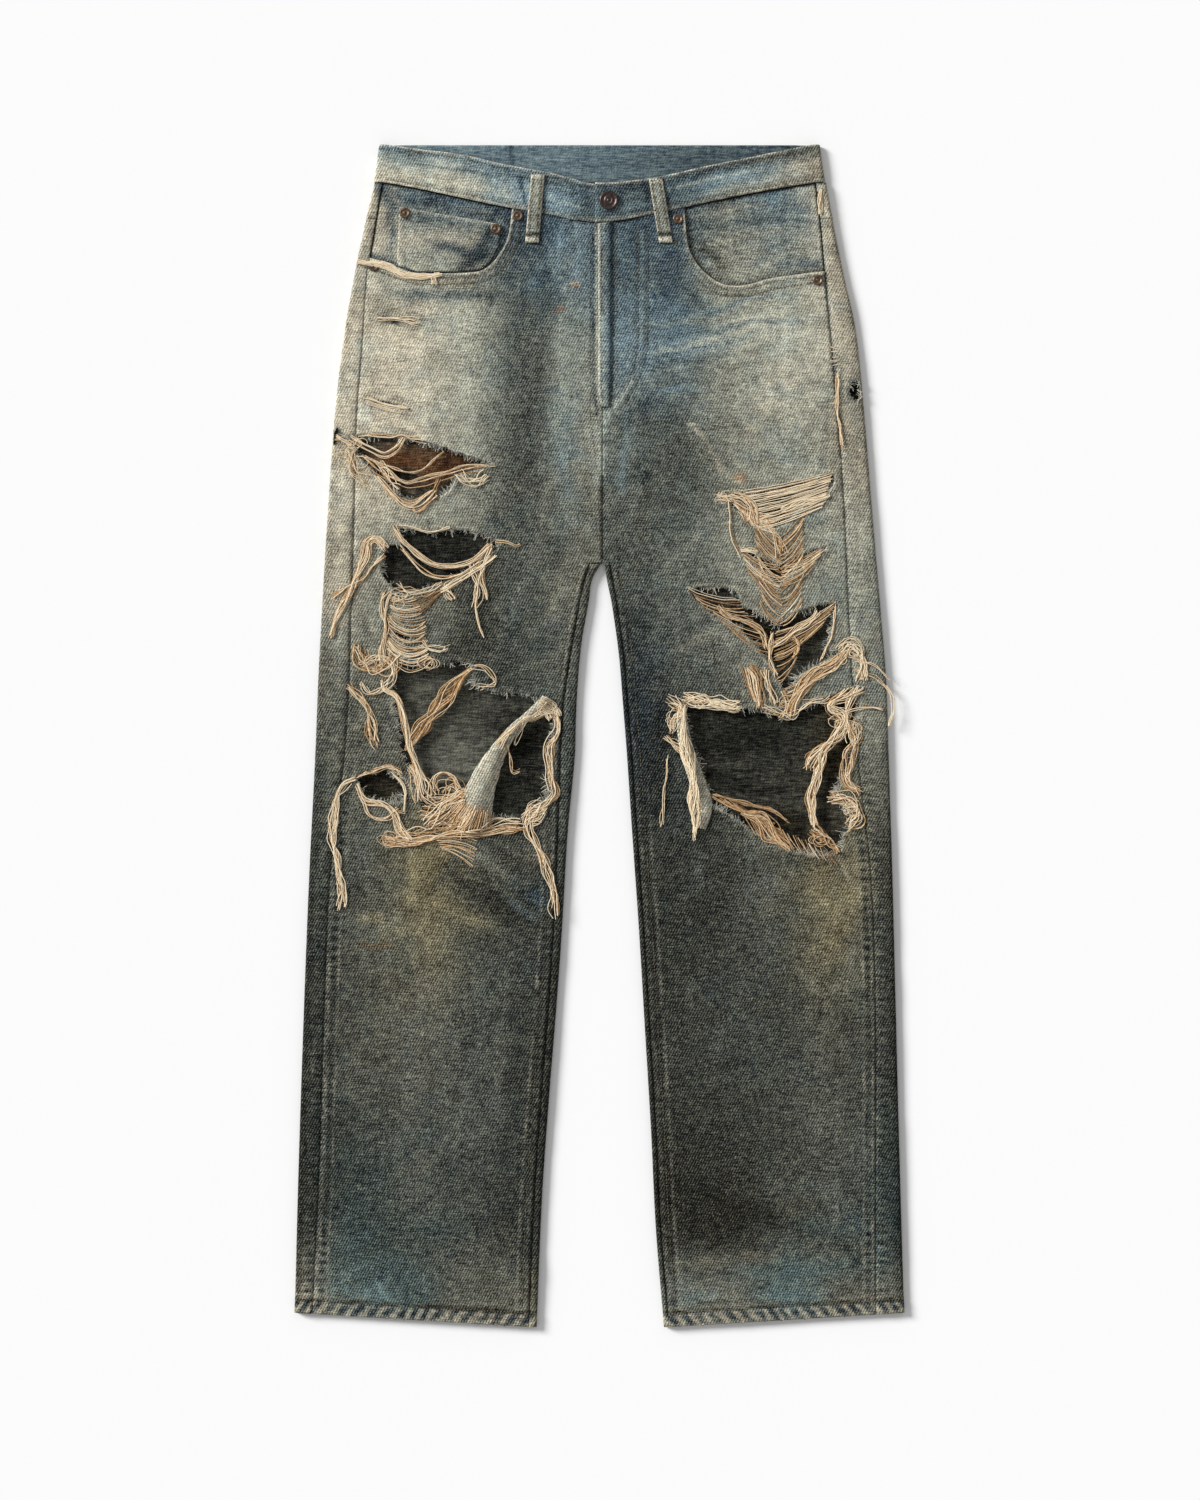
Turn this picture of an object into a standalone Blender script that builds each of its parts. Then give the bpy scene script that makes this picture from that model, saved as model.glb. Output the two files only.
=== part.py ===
"""Ripped straight-leg jeans, laid flat with the front up.

Each leg is a flattened tube. The back panel lies on the surface and wraps round both folds
on to the front, up to the outseam and the inseam. The front panel lies on top, between them.
X runs across the garment, Y from hems to waist, Z up from the surface it lies on.
Sizes are in millimetres, and MM turns them to metres.
"""
import math
from collections import namedtuple

import bmesh
import bpy

MM = 0.001

# Driving sizes
WALL = 1.3            # worn denim
BAND_WALL = 2.0       # waistband, two layers
HEM_WALL = 2.6        # hem, folded twice
LIE = 6.5             # upper face of the laid legs
BAND_RISE = 0.7       # waistband stands this much above the panels
GAP = 0.3             # clearance at every seam
CENTRE = 3.0          # x of the front and back rise seams
FORK = 160.0          # first row below the fork, where each leg closes on itself
SIDE_WAIST = 515.0    # lower edge of the waistband at the side folds
TOP = 550.0           # upper edge of the waistband at the sides and back
WARP_TOP = 430.0      # above this, rows slant up to the waistband
WARP_HEM = -480.0     # below this, rows slant down to the hem
HEM_NOMINAL = -543.0
SEAT_LIFT = 1.6       # seat stands on the back pockets and loops
BACK_LIFT = 1.5       # back of the waistband stands on its loops
OVER_LIFT = 1.4       # left end of the waistband stands this much higher, over the right end
UNDER_DROP = 1.3      # and the right end this much lower
ARC = 4               # facets round a fold
BACK_STRIP = 14.0     # a back panel's outer columns stand this far from its fold and its seam
LOOP_WIDTH = 13.5     # belt loops
LOOP_WALL = 1.6
UNDER_LOOP_WALL = 1.2
CUT_LOW, CUT_HIGH = 3.0, 14.0   # cutters reach from between the two layers to above the front
SIDE_CUT_LOW = 3.4    # where a rip runs on into the back panel's wrap
BAND_LEAN = 0.024     # the waistband's upper edge is this share shorter than its lower edge

Side = namedtuple("Side", "y outer outseam")
Inner = namedtuple("Inner", "y inseam inner")
Band = namedtuple("Band", "x top bottom")
Fold = namedtuple("Fold", "x y angle length width height")
Strand = namedtuple("Strand", "name radius route")

# Distances from the middle of the garment, on each leg's own side
RIGHT_SIDE = [
    Side(515, 209.3, 202.3), Side(471, 219.5, 209.5), Side(430, 228.0, 216.0),
    Side(368, 238.5, 220.0), Side(300, 246.3, 225.3), Side(215, 252.5, 227.5),
    Side(122, 258.1, 230.3), Side(52, 261.8, 232.3), Side(-18, 264.6, 236.7),
    Side(-125, 270.0, 249.7), Side(-245, 274.8, 255.3), Side(-398, 280.0, 260.0),
    Side(-550, 284.0, 267.5)]
RIGHT_INNER = [
    Inner(160, 9.0, -1.0), Inner(145, 14.0, 7.0), Inner(126, 18.1, 9.8),
    Inner(89, 24.6, 16.3), Inner(52, 30.4, 20.0), Inner(15, 34.9, 21.9),
    Inner(-18, 36.4, 22.8), Inner(-87, 38.5, 29.3), Inner(-180, 42.5, 34.9),
    Inner(-245, 46.8, 39.5), Inner(-338, 54.0, 47.0), Inner(-431, 60.5, 53.5),
    Inner(-550, 65.6, 58.4)]
LEFT_SIDE = [
    Side(515, 211.1, 201.3), Side(476, 218.0, 206.0), Side(427, 227.8, 210.2),
    Side(378, 238.5, 215.0), Side(300, 246.5, 221.8), Side(215, 253.4, 228.0),
    Side(122, 261.3, 231.8), Side(52, 266.9, 235.5), Side(-18, 269.2, 240.4),
    Side(-125, 272.6, 252.5), Side(-245, 275.6, 257.1), Side(-398, 279.5, 257.3),
    Side(-550, 284.0, 257.3)]
LEFT_INNER = [
    Inner(160, 10.0, 4.7), Inner(145, 12.5, 7.0), Inner(122, 16.6, 11.6),
    Inner(75, 23.1, 18.1), Inner(29, 26.9, 21.9), Inner(-18, 30.6, 25.6),
    Inner(-87, 35.2, 30.2), Inner(-180, 41.7, 36.7), Inner(-273, 47.3, 42.3),
    Inner(-366, 52.9, 47.9), Inner(-459, 57.5, 52.5), Inner(-550, 65.0, 60.0)]
# Front of the waistband: upper and lower edge
BAND = [
    Band(-210, 550, 515), Band(-201, 549.6, 515), Band(-170, 545.5, 509.5), Band(-130, 540.5, 501),
    Band(-90, 531.5, 492.5), Band(-48, 524, 485.5), Band(-4, 514.5, 477.5),
    Band(50, 519, 485.5), Band(102, 530, 497), Band(150, 539.5, 506.5),
    Band(201, 549.6, 515), Band(210, 550, 515)]
# Largest folds of the cloth on top: a ridge where height is above 0, else a trough
FOLDS = [
    Fold(-101, -142, -32, 105, 13, -1.6), Fold(-112, -112, -20, 120, 20, 2.2),
    Fold(-190, -196, -8, 46, 10, -1.1), Fold(-170, -100, 12, 60, 16, 1.4),
    Fold(-180, 60, 85, 150, 20, 1.2), Fold(-75, 120, 70, 160, 24, 1.2),
    Fold(-150, 300, 8, 130, 22, 1.4), Fold(-120, 350, -14, 120, 18, 1.0),
    Fold(-160, -330, 60, 190, 34, 1.3), Fold(-215, -470, 20, 110, 20, 1.2),
    Fold(-95, -490, -12, 90, 18, 1.2), Fold(112, -452, -25, 135, 20, -1.7),
    Fold(122, -487, -8, 100, 18, 1.8), Fold(226, -494, -24, 70, 12, -1.3),
    Fold(120, -420, -28, 120, 18, 1.4), Fold(150, -140, 8, 130, 22, 1.5),
    Fold(212, -128, -58, 60, 12, -1.2), Fold(109, 252, -38, 60, 12, 1.2),
    Fold(150, 300, 6, 150, 20, 1.2), Fold(110, 360, 10, 130, 15, 0.9),
    Fold(80, -300, 75, 200, 36, 1.2), Fold(215, -300, 88, 220, 26, 1.1),
    Fold(70, 90, 78, 150, 26, 1.2)]

# The front's rows hold every row of the back, so the two sides of a seam have the same corners
FRONT_ROWS = [
    515, 498, 481, 464, 447, 430, 408, 384, 360, 334, 308, 284, 262, 232, 205, 178, 160, 140,
    119, 100, 75, 50, 16, -20, -58, -90, -110, -128, -146, -170, -195, -240, -285, -335, -385,
    -418, -450, -472, -495, -512, -527.5, -530, -543]
BACK_ROWS = [430, 384, 334, 284, 262, 232, 205, 178, 160, 140, 100, 50, -20, -90, -146, -195,
             -285, -385, -450, -495, -527.5, -530, -543]
BACK_TOP_ROWS = [481, 464, 447]
YOKE_ROWS = [515, 498, 481]
YOKE_CENTRE = 454.0   # yoke seam at centre back
YOKE_SIDE = 481.0     # yoke seam at the side folds
FRONT_COLUMNS = 9

# Rips through the front panels, each a closed outline going round
RIPS_RIGHT = [
    # thigh rip under the pocket
    [(-238, 275), (-225, 280), (-195, 280), (-148, 270), (-111, 258), (-95, 254), (-120, 246),
     (-133, 242), (-140, 229), (-160, 216), (-174, 217), (-190, 227), (-212, 246), (-227, 263)],
    # second thigh rip
    [(-189, 193), (-158, 190), (-120, 191), (-95, 181), (-102, 170), (-130, 150), (-148, 140),
     (-172, 133), (-188, 134), (-198, 142), (-203, 160), (-197, 177), (-186, 179)],
    # knee
    [(-192, 66), (-162, 68), (-120, 67), (-116, 46), (-69, 38), (-51, 33), (-44, 22),
     (-44, -15), (-48, -52), (-67, -73), (-97, -77), (-148, -86), (-163, -71), (-175, -36),
     (-187, 1)],
    # beside the knee, near the outseam
    [(-227, -39), (-219, -33), (-199, -31), (-186, -37), (-177, -49), (-186, -60), (-201, -63),
     (-219, -57)]]
RIPS_LEFT = [
    # thigh
    [(114, 224), (146, 227), (191, 237), (218, 243), (212, 225), (196, 216), (182, 209),
     (174, 198), (160, 192), (145, 197), (129, 208)],
    # small rip below it
    [(132, 173), (159, 164), (173, 162), (211, 177), (200, 167), (177, 150), (166, 141),
     (157, 148), (145, 158)],
    # above the knee
    [(84, 136), (123, 136), (133, 123), (146, 116), (168, 106), (186, 116), (219, 124),
     (220, 115), (212, 84), (226, 79), (205, 66), (186, 57), (177, 42), (169, 48), (153, 74),
     (138, 92), (121, 106), (103, 115)],
    # knee
    [(79, 31), (131, 28), (159, 25), (174, 19), (186, 28), (214, 37), (235, 46), (240, 33),
     (240, 1), (233, -27), (222, -50), (226, -65), (240, -76), (228, -92), (222, -107),
     (186, -109), (154, -95), (117, -71), (103, -60), (95, -40), (90, -24), (84, -5),
     (80, 13)]]
SLITS_RIGHT = [
    [(-207, 390), (-190, 389), (-169, 385), (-188, 384)],
    [(-213, 313), (-199, 311), (-175, 303), (-197, 306)]]
NOTCH = [(-256, 291), (-243, 286), (-240, 279), (-244, 271), (-256, 272)]

# Front pocket openings, from the outseam to the waistband
POCKET_RIGHT = [(-216, 445), (-202, 441), (-186, 435), (-169, 430), (-130, 430), (-111, 432),
                (-100, 439), (-90, 452), (-84, 466), (-81, 489)]
POCKET_LEFT = [(211, 432), (186, 429), (159, 425), (137, 419), (118, 419), (105, 425),
               (91, 438), (82, 456), (79, 484)]
COIN_TOP_LEFT, COIN_TOP_RIGHT, COIN_LEFT_FOOT = (-186, 492), (-92, 476), (-188.5, 441)

# Routes of thread bundles over the cloth and across the rips
STRANDS = [
    Strand("threads_thigh_right", 2.2, [(-237, 281), (-222, 268), (-200, 248),
                                        (-178, 230), (-158, 226), (-140, 238),
                                        (-118, 249), (-100, 252)]),
    Strand("threads_arc_right", 1.8, [(-206, 190), (-190, 183), (-172, 166),
                                      (-148, 157), (-124, 165), (-106, 178),
                                      (-92, 184)]),
    Strand("threads_arch_right", 2.4, [(-207, 181), (-214, 176), (-218, 164),
                                       (-221, 146), (-232, 128), (-244, 108),
                                       (-251, 88)]),
    Strand("threads_ladder_right", 2.4, [(-192, 130), (-188, 118), (-182, 104),
                                         (-186, 90), (-190, 76)]),
    Strand("threads_fall_right", 2.4, [(-212, 72), (-216, 62), (-206, 48),
                                       (-196, 32), (-190, 12), (-183, -14),
                                       (-172, -40), (-160, -62), (-150, -88)]),
    Strand("threads_tassel_right", 2.0, [(-232, 48), (-222, 38), (-214, 24),
                                         (-212, 6), (-208, -10)]),
    Strand("threads_leaf_right", 2.4, [(-114, 71), (-121, 56), (-134, 42),
                                       (-148, 28), (-160, 12), (-171, -6)]),
    Strand("threads_inner_right", 2.2, [(-42, 31), (-40, 16), (-39, 0),
                                        (-43, -20), (-40, -48), (-50, -72),
                                        (-54, -90), (-50, -112), (-42, -140),
                                        (-39, -168)]),
    Strand("threads_knee_right", 2.6, [(-204, -94), (-180, -99), (-158, -97),
                                       (-140, -92), (-120, -88), (-98, -87),
                                       (-76, -86), (-60, -88)]),
    Strand("threads_lobe_right", 2.4, [(-150, -100), (-138, -109), (-124, -114)]),
    Strand("threads_side_right", 2.0, [(-228, -32), (-240, -38), (-247, -56),
                                       (-250, -84), (-246, -116), (-241, -144),
                                       (-240, -166)]),
    Strand("threads_loop_right", 2.0, [(-235, -46), (-228, -70), (-214, -78),
                                       (-196, -72), (-180, -66)]),
    Strand("threads_thigh_left", 3.0, [(116, 221), (134, 216), (152, 206),
                                       (170, 211), (190, 221), (214, 231)]),
    Strand("threads_column_left", 3.0, [(161, 188), (166, 178), (168, 162),
                                        (168, 146), (171, 130), (170, 112)]),
    Strand("threads_vee_left", 2.4, [(104, 120), (122, 106), (142, 96),
                                     (158, 84), (176, 94), (196, 107),
                                     (221, 123)]),
    Strand("threads_band_left", 2.6, [(229, 71), (212, 66), (196, 56),
                                      (184, 42), (177, 27)]),
    Strand("threads_tassel_left", 2.2, [(136, 66), (146, 56), (150, 40),
                                        (148, 24)]),
    Strand("threads_knot_left", 2.4, [(229, 80), (238, 82), (243, 66),
                                      (248, 54), (260, 48), (270, 42)]),
    Strand("threads_side_left", 2.6, [(242, 47), (232, 34), (218, 24),
                                      (226, 10), (214, -8), (208, -30),
                                      (203, -56), (203, -84), (208, -108)]),
    Strand("threads_spread_left", 2.0, [(225, 24), (244, 26), (262, 26)]),
    Strand("threads_knee_left", 2.6, [(112, -62), (130, -69), (150, -80),
                                      (166, -96), (186, -104), (206, -112),
                                      (222, -112)]),
    Strand("threads_corner_left", 2.2, [(216, -62), (226, -60), (236, -68),
                                        (243, -78)])]

# Parts of the front's trim
FLY_EDGE = [(-1.5, 476.5), (-1.0, 320), (1.5, 306), (8.6, 306), (10.6, 330), (10.8, 478)]
FLY_EDGE_WALL = 1.4
Rivet = namedtuple("Rivet", "name x y")
RIVETS = [
    Rivet("rivet_side_right", -210, 437), Rivet("rivet_inner_right", -76, 484),
    Rivet("rivet_inner_left", 73, 481), Rivet("rivet_side_left", 203, 424),
    Rivet("rivet_coin_outer", -181, 486.5), Rivet("rivet_coin_inner", -96.5, 471.5)]
BUTTON_X, BUTTON_Y = 8.8, 497.5

# Torn tongues of the knee's cloth, from where each hangs on to its tip
Tongue = namedtuple("Tongue", "x y half_width")
FLAP_RIGHT = [Tongue(-50, 35, 4), Tongue(-66, 19, 4), Tongue(-80, 6, 5), Tongue(-94, -14, 8),
              Tongue(-106, -38, 12), Tongue(-113, -60, 16), Tongue(-116, -79, 17)]
FLAP_LEFT = [Tongue(77, 30, 3), Tongue(77, 12, 5), Tongue(80, -8, 6), Tongue(86, -28, 7),
             Tongue(93, -48, 7.5), Tongue(98, -66, 7), Tongue(94, -86, 5)]
FLAP_WALL = 1.6
FLAP_BOW = 0.45       # a tongue's curl, as a share of its half width

COLOURS = {
    "denim": (0.33, 0.33, 0.29), "blue": (0.17, 0.23, 0.27), "inside": (0.42, 0.43, 0.40),
    "threads": (0.62, 0.47, 0.30), "copper": (0.25, 0.15, 0.10), "button": (0.12, 0.09, 0.08)}


def material(kind):
    """A finish for one piece."""
    mat = bpy.data.materials.new(kind)
    mat.use_nodes = True
    shader = mat.node_tree.nodes["Principled BSDF"]
    metal = kind in ("copper", "button")
    shader.inputs["Base Color"].default_value = (*COLOURS[kind], 1.0)
    shader.inputs["Metallic"].default_value = 1.0 if metal else 0.0
    shader.inputs["Roughness"].default_value = 0.5 if metal else 0.9
    return mat


def smooth(table, column, y):
    """Value of a column at y, on a cubic curve through the table's rows."""
    ys = [row[0] for row in table]
    values = [getattr(row, column) for row in table]
    if ys[0] > ys[-1]:
        ys, values = ys[::-1], values[::-1]
    y = min(max(y, ys[0]), ys[-1])
    i = max(0, min(len(ys) - 2, sum(1 for at in ys if at <= y) - 1))

    def slope(k):
        a, b = max(k - 1, 0), min(k + 1, len(ys) - 1)
        return (values[b] - values[a]) / (ys[b] - ys[a])

    span = ys[i + 1] - ys[i]
    t = (y - ys[i]) / span
    return ((2 * t**3 - 3 * t**2 + 1) * values[i] + (t**3 - 2 * t**2 + t) * span * slope(i)
            + (3 * t**2 - 2 * t**3) * values[i + 1] + (t**3 - t**2) * span * slope(i + 1))


def seam(table, column, y):
    """The column at y, straight between the back panel's rows, so both sides of a seam agree."""
    rows = sorted(YOKE_ROWS + BACK_TOP_ROWS + BACK_ROWS)
    low = max([row for row in rows if row <= y], default=rows[0])
    high = min([row for row in rows if row >= y], default=rows[-1])
    start, end = smooth(table, column, low), smooth(table, column, high)
    return start if high == low else start + (end - start) * (y - low) / (high - low)


def front_columns(side_table, inner_table, s, y):
    """Where a front panel's columns stand in one row, from the outseam to its inner edge."""
    start = seam(side_table, "outseam", y) - GAP
    end = s * CENTRE + GAP / 2 if y > FORK + 1 else seam(inner_table, "inseam", y) + GAP / 2
    if y == FORK:
        end += 3 * GAP
    return [start + (end - start) * k / FRONT_COLUMNS for k in range(FRONT_COLUMNS + 1)]


def ease(low, high, value):
    """0 below low, 1 above high, and smooth between them."""
    t = min(max((value - low) / (high - low), 0.0), 1.0)
    return t * t * (3 - 2 * t)


def folds(x, y):
    """Height of the folds over the laid face."""
    total = 0.0
    for fold in FOLDS:
        turn = math.radians(fold.angle)
        dx, dy = x - fold.x, y - fold.y
        along = (dx * math.cos(turn) + dy * math.sin(turn)) / (fold.length / 2)
        across = (dy * math.cos(turn) - dx * math.sin(turn)) / (fold.width / 2)
        total += fold.height * math.exp(-across**2 - along**4)
    return total


def top_face(x, y):
    """Upper face of the legs' cloth."""
    return LIE + folds(x, y)


def hem_line(u):
    """The hem slants: lowest at the inner fold."""
    return -550.0 + 13.6 * (u - 58.0) / 226.0


def slant(u, y, top, nominal_top):
    """Moves a row near the waist or the hem on to that slanting edge."""
    if y > WARP_TOP:
        return WARP_TOP + (y - WARP_TOP) * (top - WARP_TOP) / (nominal_top - WARP_TOP)
    if y < WARP_HEM:
        return WARP_HEM + (y - WARP_HEM) * (hem_line(u) - WARP_HEM) / (HEM_NOMINAL - WARP_HEM)
    return y


def add_object(name, mesh, kind):
    """Puts a finished mesh in the garment's collection."""
    obj = bpy.data.objects.new(name, mesh)
    garment.objects.link(obj)
    mesh.materials.append(material(kind))
    return obj


def sheet(name, rows, wall, kind, tube=False, thick_rows=0, thick=0.0):
    """Cloth from rows of points on its outer face, with the wall going inwards.

    An open sheet has its outer face up. A tube has it away from the laid garment's middle.
    The last thick_rows rows have the hem's thickness.
    """
    bm = bmesh.new()
    grid = [[bm.verts.new([c * MM for c in point]) for point in row] for row in rows]
    for upper, lower in zip(grid, grid[1:]):
        for a in range(len(upper) - 1):
            bm.faces.new((upper[a], upper[a + 1], lower[a + 1], lower[a]))
    bm.normal_update()
    middle = LIE / 2 * MM if tube else -1.0
    outward = sum(face.normal.z * face.calc_area() * (face.calc_center_median().z - middle)
                  for face in bm.faces)
    if outward < 0:
        bmesh.ops.reverse_faces(bm, faces=bm.faces)
    bm.verts.index_update()
    hem = [vert.index for row in grid[len(grid) - thick_rows:] for vert in row]
    mesh = bpy.data.meshes.new(name)
    bm.to_mesh(mesh)
    bm.free()
    obj = add_object(name, mesh, kind)
    shell = obj.modifiers.new("wall", 'SOLIDIFY')
    shell.thickness = wall * MM
    shell.offset = -1.0
    shell.use_even_offset = True
    if thick_rows:
        shell.thickness = thick * MM
        group = obj.vertex_groups.new(name="hem")
        group.add(range(len(mesh.vertices)), wall / thick, 'REPLACE')
        group.add(hem, 1.0, 'REPLACE')
        shell.vertex_group = "hem"
    return obj


def prism(name, outline, low, high, kind=None):
    """A flat piece or a cutter from its outline."""
    bm = bmesh.new()
    outlines = outline if isinstance(outline[0], list) else [outline]
    for points in outlines:
        face = bm.faces.new([bm.verts.new((x * MM, y * MM, low * MM)) for x, y in points])
        raised = bmesh.ops.extrude_face_region(bm, geom=[face])["geom"]
        verts = [item for item in raised if isinstance(item, bmesh.types.BMVert)]
        bmesh.ops.translate(bm, verts=verts, vec=(0, 0, (high - low) * MM))
    bmesh.ops.recalc_face_normals(bm, faces=bm.faces)
    mesh = bpy.data.meshes.new(name)
    bm.to_mesh(mesh)
    bm.free()
    if kind:
        return add_object(name, mesh, kind)
    obj = bpy.data.objects.new(name, mesh)
    obj.hide_render = True
    obj.display_type = 'WIRE'
    cutters.objects.link(obj)
    return obj


def cut(obj, cutter):
    """Takes the cutter's shape out of a panel."""
    step = obj.modifiers.new("cut", 'BOOLEAN')
    step.operation = 'DIFFERENCE'
    step.solver = 'EXACT'
    step.object = cutter


def wrapped_row(y, s, side_table, inner_table, top, nominal_top):
    """One row of a back panel or yoke, from the outseam round to the inseam or centre back."""
    outer = smooth(side_table, "outer", y)
    outseam = smooth(side_table, "outseam", y)
    radius = LIE / 2
    rim = outer - radius
    row = [(outseam, LIE, 1.0), (rim, LIE, 1.0)]
    for k in range(1, ARC + 1):
        turn = math.pi * k / ARC
        row.append((rim + radius * math.sin(turn), radius + radius * math.cos(turn),
                    (1 + math.cos(turn)) / 2))
    middle = s * CENTRE + GAP / 2
    raised = SEAT_LIFT * ease(236.0, 260.0, y)
    if y > FORK + 1:
        ends = [middle + beyond for beyond in (BACK_STRIP, 11, 8, 5, 2.5, 0)]
        first = ends[0]
        tail = [(u, raised, 0.0) for u in ends]
    else:
        inner = smooth(inner_table, "inner", y)
        inseam = smooth(inner_table, "inseam", y)
        first = inner + radius
        tail = [(first, 0.0, 0.0)]
        for k in range(1, ARC + 1):
            turn = math.pi * k / ARC
            tail.append((first - radius * math.sin(turn), radius - radius * math.cos(turn),
                         (1 - math.cos(turn)) / 2))
        tail.append((inseam - GAP / 2, LIE, 1.0))
    near = rim - BACK_STRIP
    row += [(near + (first - near) * k / 4, raised, 0.0) for k in range(4)]
    row += tail
    points = []
    for u, z, share in row:
        at = slant(u, y, top(u), nominal_top)
        points.append((s * u, at, z + share * folds(s * u, at)))
    return points


def yoke_line(u):
    """The yoke seam drops towards centre back."""
    return YOKE_CENTRE + (YOKE_SIDE - YOKE_CENTRE) * min(max(u / 205.0, 0.0), 1.0)


def back_panel(name, s, side_table, inner_table):
    """Back panel, from the yoke seam to the hem."""
    rows = [wrapped_row(y, s, side_table, inner_table, lambda u: yoke_line(u) - GAP / 2, YOKE_SIDE)
            for y in BACK_TOP_ROWS + BACK_ROWS]
    return sheet(name, rows, WALL, "denim", True, thick_rows=2, thick=HEM_WALL)


def yoke(name, s, side_table, inner_table):
    """Yoke, from the waistband to the yoke seam."""
    rows = []
    for y in YOKE_ROWS:
        share = (y - YOKE_SIDE) / (SIDE_WAIST - YOKE_SIDE)
        raw = wrapped_row(y, s, side_table, inner_table, lambda u: y, y)
        row = []
        for x, _, z in raw:
            low = yoke_line(s * x) + GAP / 2
            row.append((x, low + (SIDE_WAIST - 2 * GAP - low) * share, z))
        rows.append(row)
    return sheet(name, rows, WALL, "denim", True)


def front_panel(name, s, side_table, inner_table):
    """Front panel, from the waistband to the hem, between the outseam and the rise or inseam."""
    rows = []
    for y in FRONT_ROWS:
        row = []
        for u in front_columns(side_table, inner_table, s, y):
            at = slant(u, y, smooth(BAND, "bottom", s * u) - GAP, SIDE_WAIST)
            row.append((s * u, at, top_face(s * u, at)))
        rows.append(row)
    return sheet(name, rows, WALL, "denim", False, thick_rows=2, thick=HEM_WALL)


def band_point(x, share, back):
    """A point on the waistband's outer face; share goes from its lower to its upper edge."""
    lean = 1.0 - BAND_LEAN * share
    face = LIE + BAND_RISE
    if back:
        lift = BACK_LIFT * (1 - ease(178.0, 200.0, abs(x)))
        return x * lean, SIDE_WAIST + (TOP - SIDE_WAIST) * share, lift
    low, high = smooth(BAND, "bottom", x), smooth(BAND, "top", x)
    return x * lean, low + (high - low) * share, face


def waistband():
    """One strip all round: right end under the left end at centre front."""
    radius = (LIE + BAND_RISE) / 2
    edge = 210.0 - radius
    under, over = 26.0, -4.0
    right = [-u for u in front_columns(RIGHT_SIDE, RIGHT_INNER, -1, SIDE_WAIST)][::-1]
    left = front_columns(LEFT_SIDE, LEFT_INNER, 1, SIDE_WAIST)
    columns = []
    for x in [under, 14] + right + [-edge]:
        columns.append(("front", x, -UNDER_DROP * ease(-20.0, -5.0, x)))
    for k in range(1, ARC):
        columns.append(("fold", -1, math.pi * k / ARC))
    for x in (-edge, -196, -182, -150, -100, -50, 0, 50, 100, 150, 182, 196, edge):
        columns.append(("back", x, 0.0))
    for k in range(1, ARC):
        columns.append(("fold", 1, math.pi * (1 - k / ARC)))
    for x in [edge] + left + [over]:
        columns.append(("front", x, OVER_LIFT * (1 - ease(26.0, 44.0, x))))
    rows = []
    for share in (1.0, 0.5, 0.0):
        row = []
        for kind, x, extra in columns:
            if kind == "fold":
                lean = 1.0 - BAND_LEAN * share
                at = (edge + radius * math.sin(extra)) * lean * x
                row.append((at, SIDE_WAIST + (TOP - SIDE_WAIST) * share,
                            radius + radius * math.cos(extra)))
            else:
                px, py, pz = band_point(x, share, kind == "back")
                if extra < 0:
                    py += 0.8 * (1 - 2 * share)
                row.append((px, py, pz + extra))
        rows.append(row)
    return sheet("waistband", rows, BAND_WALL, "blue", True)


def facing(name, s, side_table, reach, foot):
    """Cloth seen inside a front pocket, under the opening."""
    rows = []
    for y in (SIDE_WAIST, 495, 475, 455, foot):
        start = smooth(side_table, "outseam", y) - 1.0
        row = []
        for k in range(6):
            u = start + (reach - start) * k / 5
            at = slant(u, y, smooth(BAND, "bottom", s * u) - 1.0, SIDE_WAIST)
            row.append((s * u, at, top_face(s * u, at) - WALL - GAP))
        rows.append(row)
    return sheet(name, rows, WALL, "blue")


def belt_loop(name, x_top, x_foot, y_top, y_foot, y_step):
    """A loop over the waistband, stepping down to the panel at its foot."""
    rows = []
    face = LIE + BAND_RISE + GAP
    heights = ((0.0, face), (0.12, face + 0.5), (0.5, face + 0.7))
    for share, z in heights:
        rows.append((share * (y_step - y_top) + y_top, z))
    rows += [(y_step, face + 0.3), (y_step - 5, LIE + 2 * GAP), (y_foot, LIE + 2 * GAP)]
    points = []
    for y, z in rows:
        x = x_top + (x_foot - x_top) * (y - y_top) / (y_foot - y_top)
        points.append([(x + side * LOOP_WIDTH / 2, y, z + LOOP_WALL) for side in (-1, 1)])
    return sheet(name, points, LOOP_WALL, "denim")


def under_loop(name, x, y_top, y_foot):
    """A loop under the back of the waistband, flat on the surface."""
    half = LOOP_WIDTH / 2
    outline = [(x - half, y_foot), (x + half, y_foot), (x + half, y_top), (x - half, y_top)]
    return prism(name, outline, 0.0, UNDER_LOOP_WALL, "denim")


def back_pocket(name, s):
    """Five-sided patch pocket under the seat."""
    mid, top, half, point = 112.0, 444.0, 74.0, 277.0
    shape = [(-half, top), (half, top - 4), (half - 9, point + 22), (-4, point),
             (-half + 9, point + 24)]
    return prism(name, [(s * (mid + x), y) for x, y in shape], 0.0, WALL, "denim")


def coin_pocket():
    """Lies on the facing, level with the panel, down to the pocket opening."""
    (ax, ay), (bx, by), (cx, cy) = COIN_TOP_LEFT, COIN_TOP_RIGHT, COIN_LEFT_FOOT
    edge = [(x, y + 2.0) for x, y in POCKET_RIGHT if cx < x < bx - 8]
    outline = [(ax, ay), (cx, cy)] + edge + [(bx - 1.5, by - 8.5), (bx, by)]
    return prism("coin_pocket", outline, LIE - WALL, LIE, "blue")


def pocket_cutter(name, curve, s):
    """The opening of a front pocket, up past the waistband seam."""
    above, beside = SIDE_WAIST + 5.0, s * 225.0
    corners = [(curve[-1][0], above), (beside, above), (beside, curve[0][1])]
    return prism(name, curve + corners, CUT_LOW, CUT_HIGH)


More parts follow.
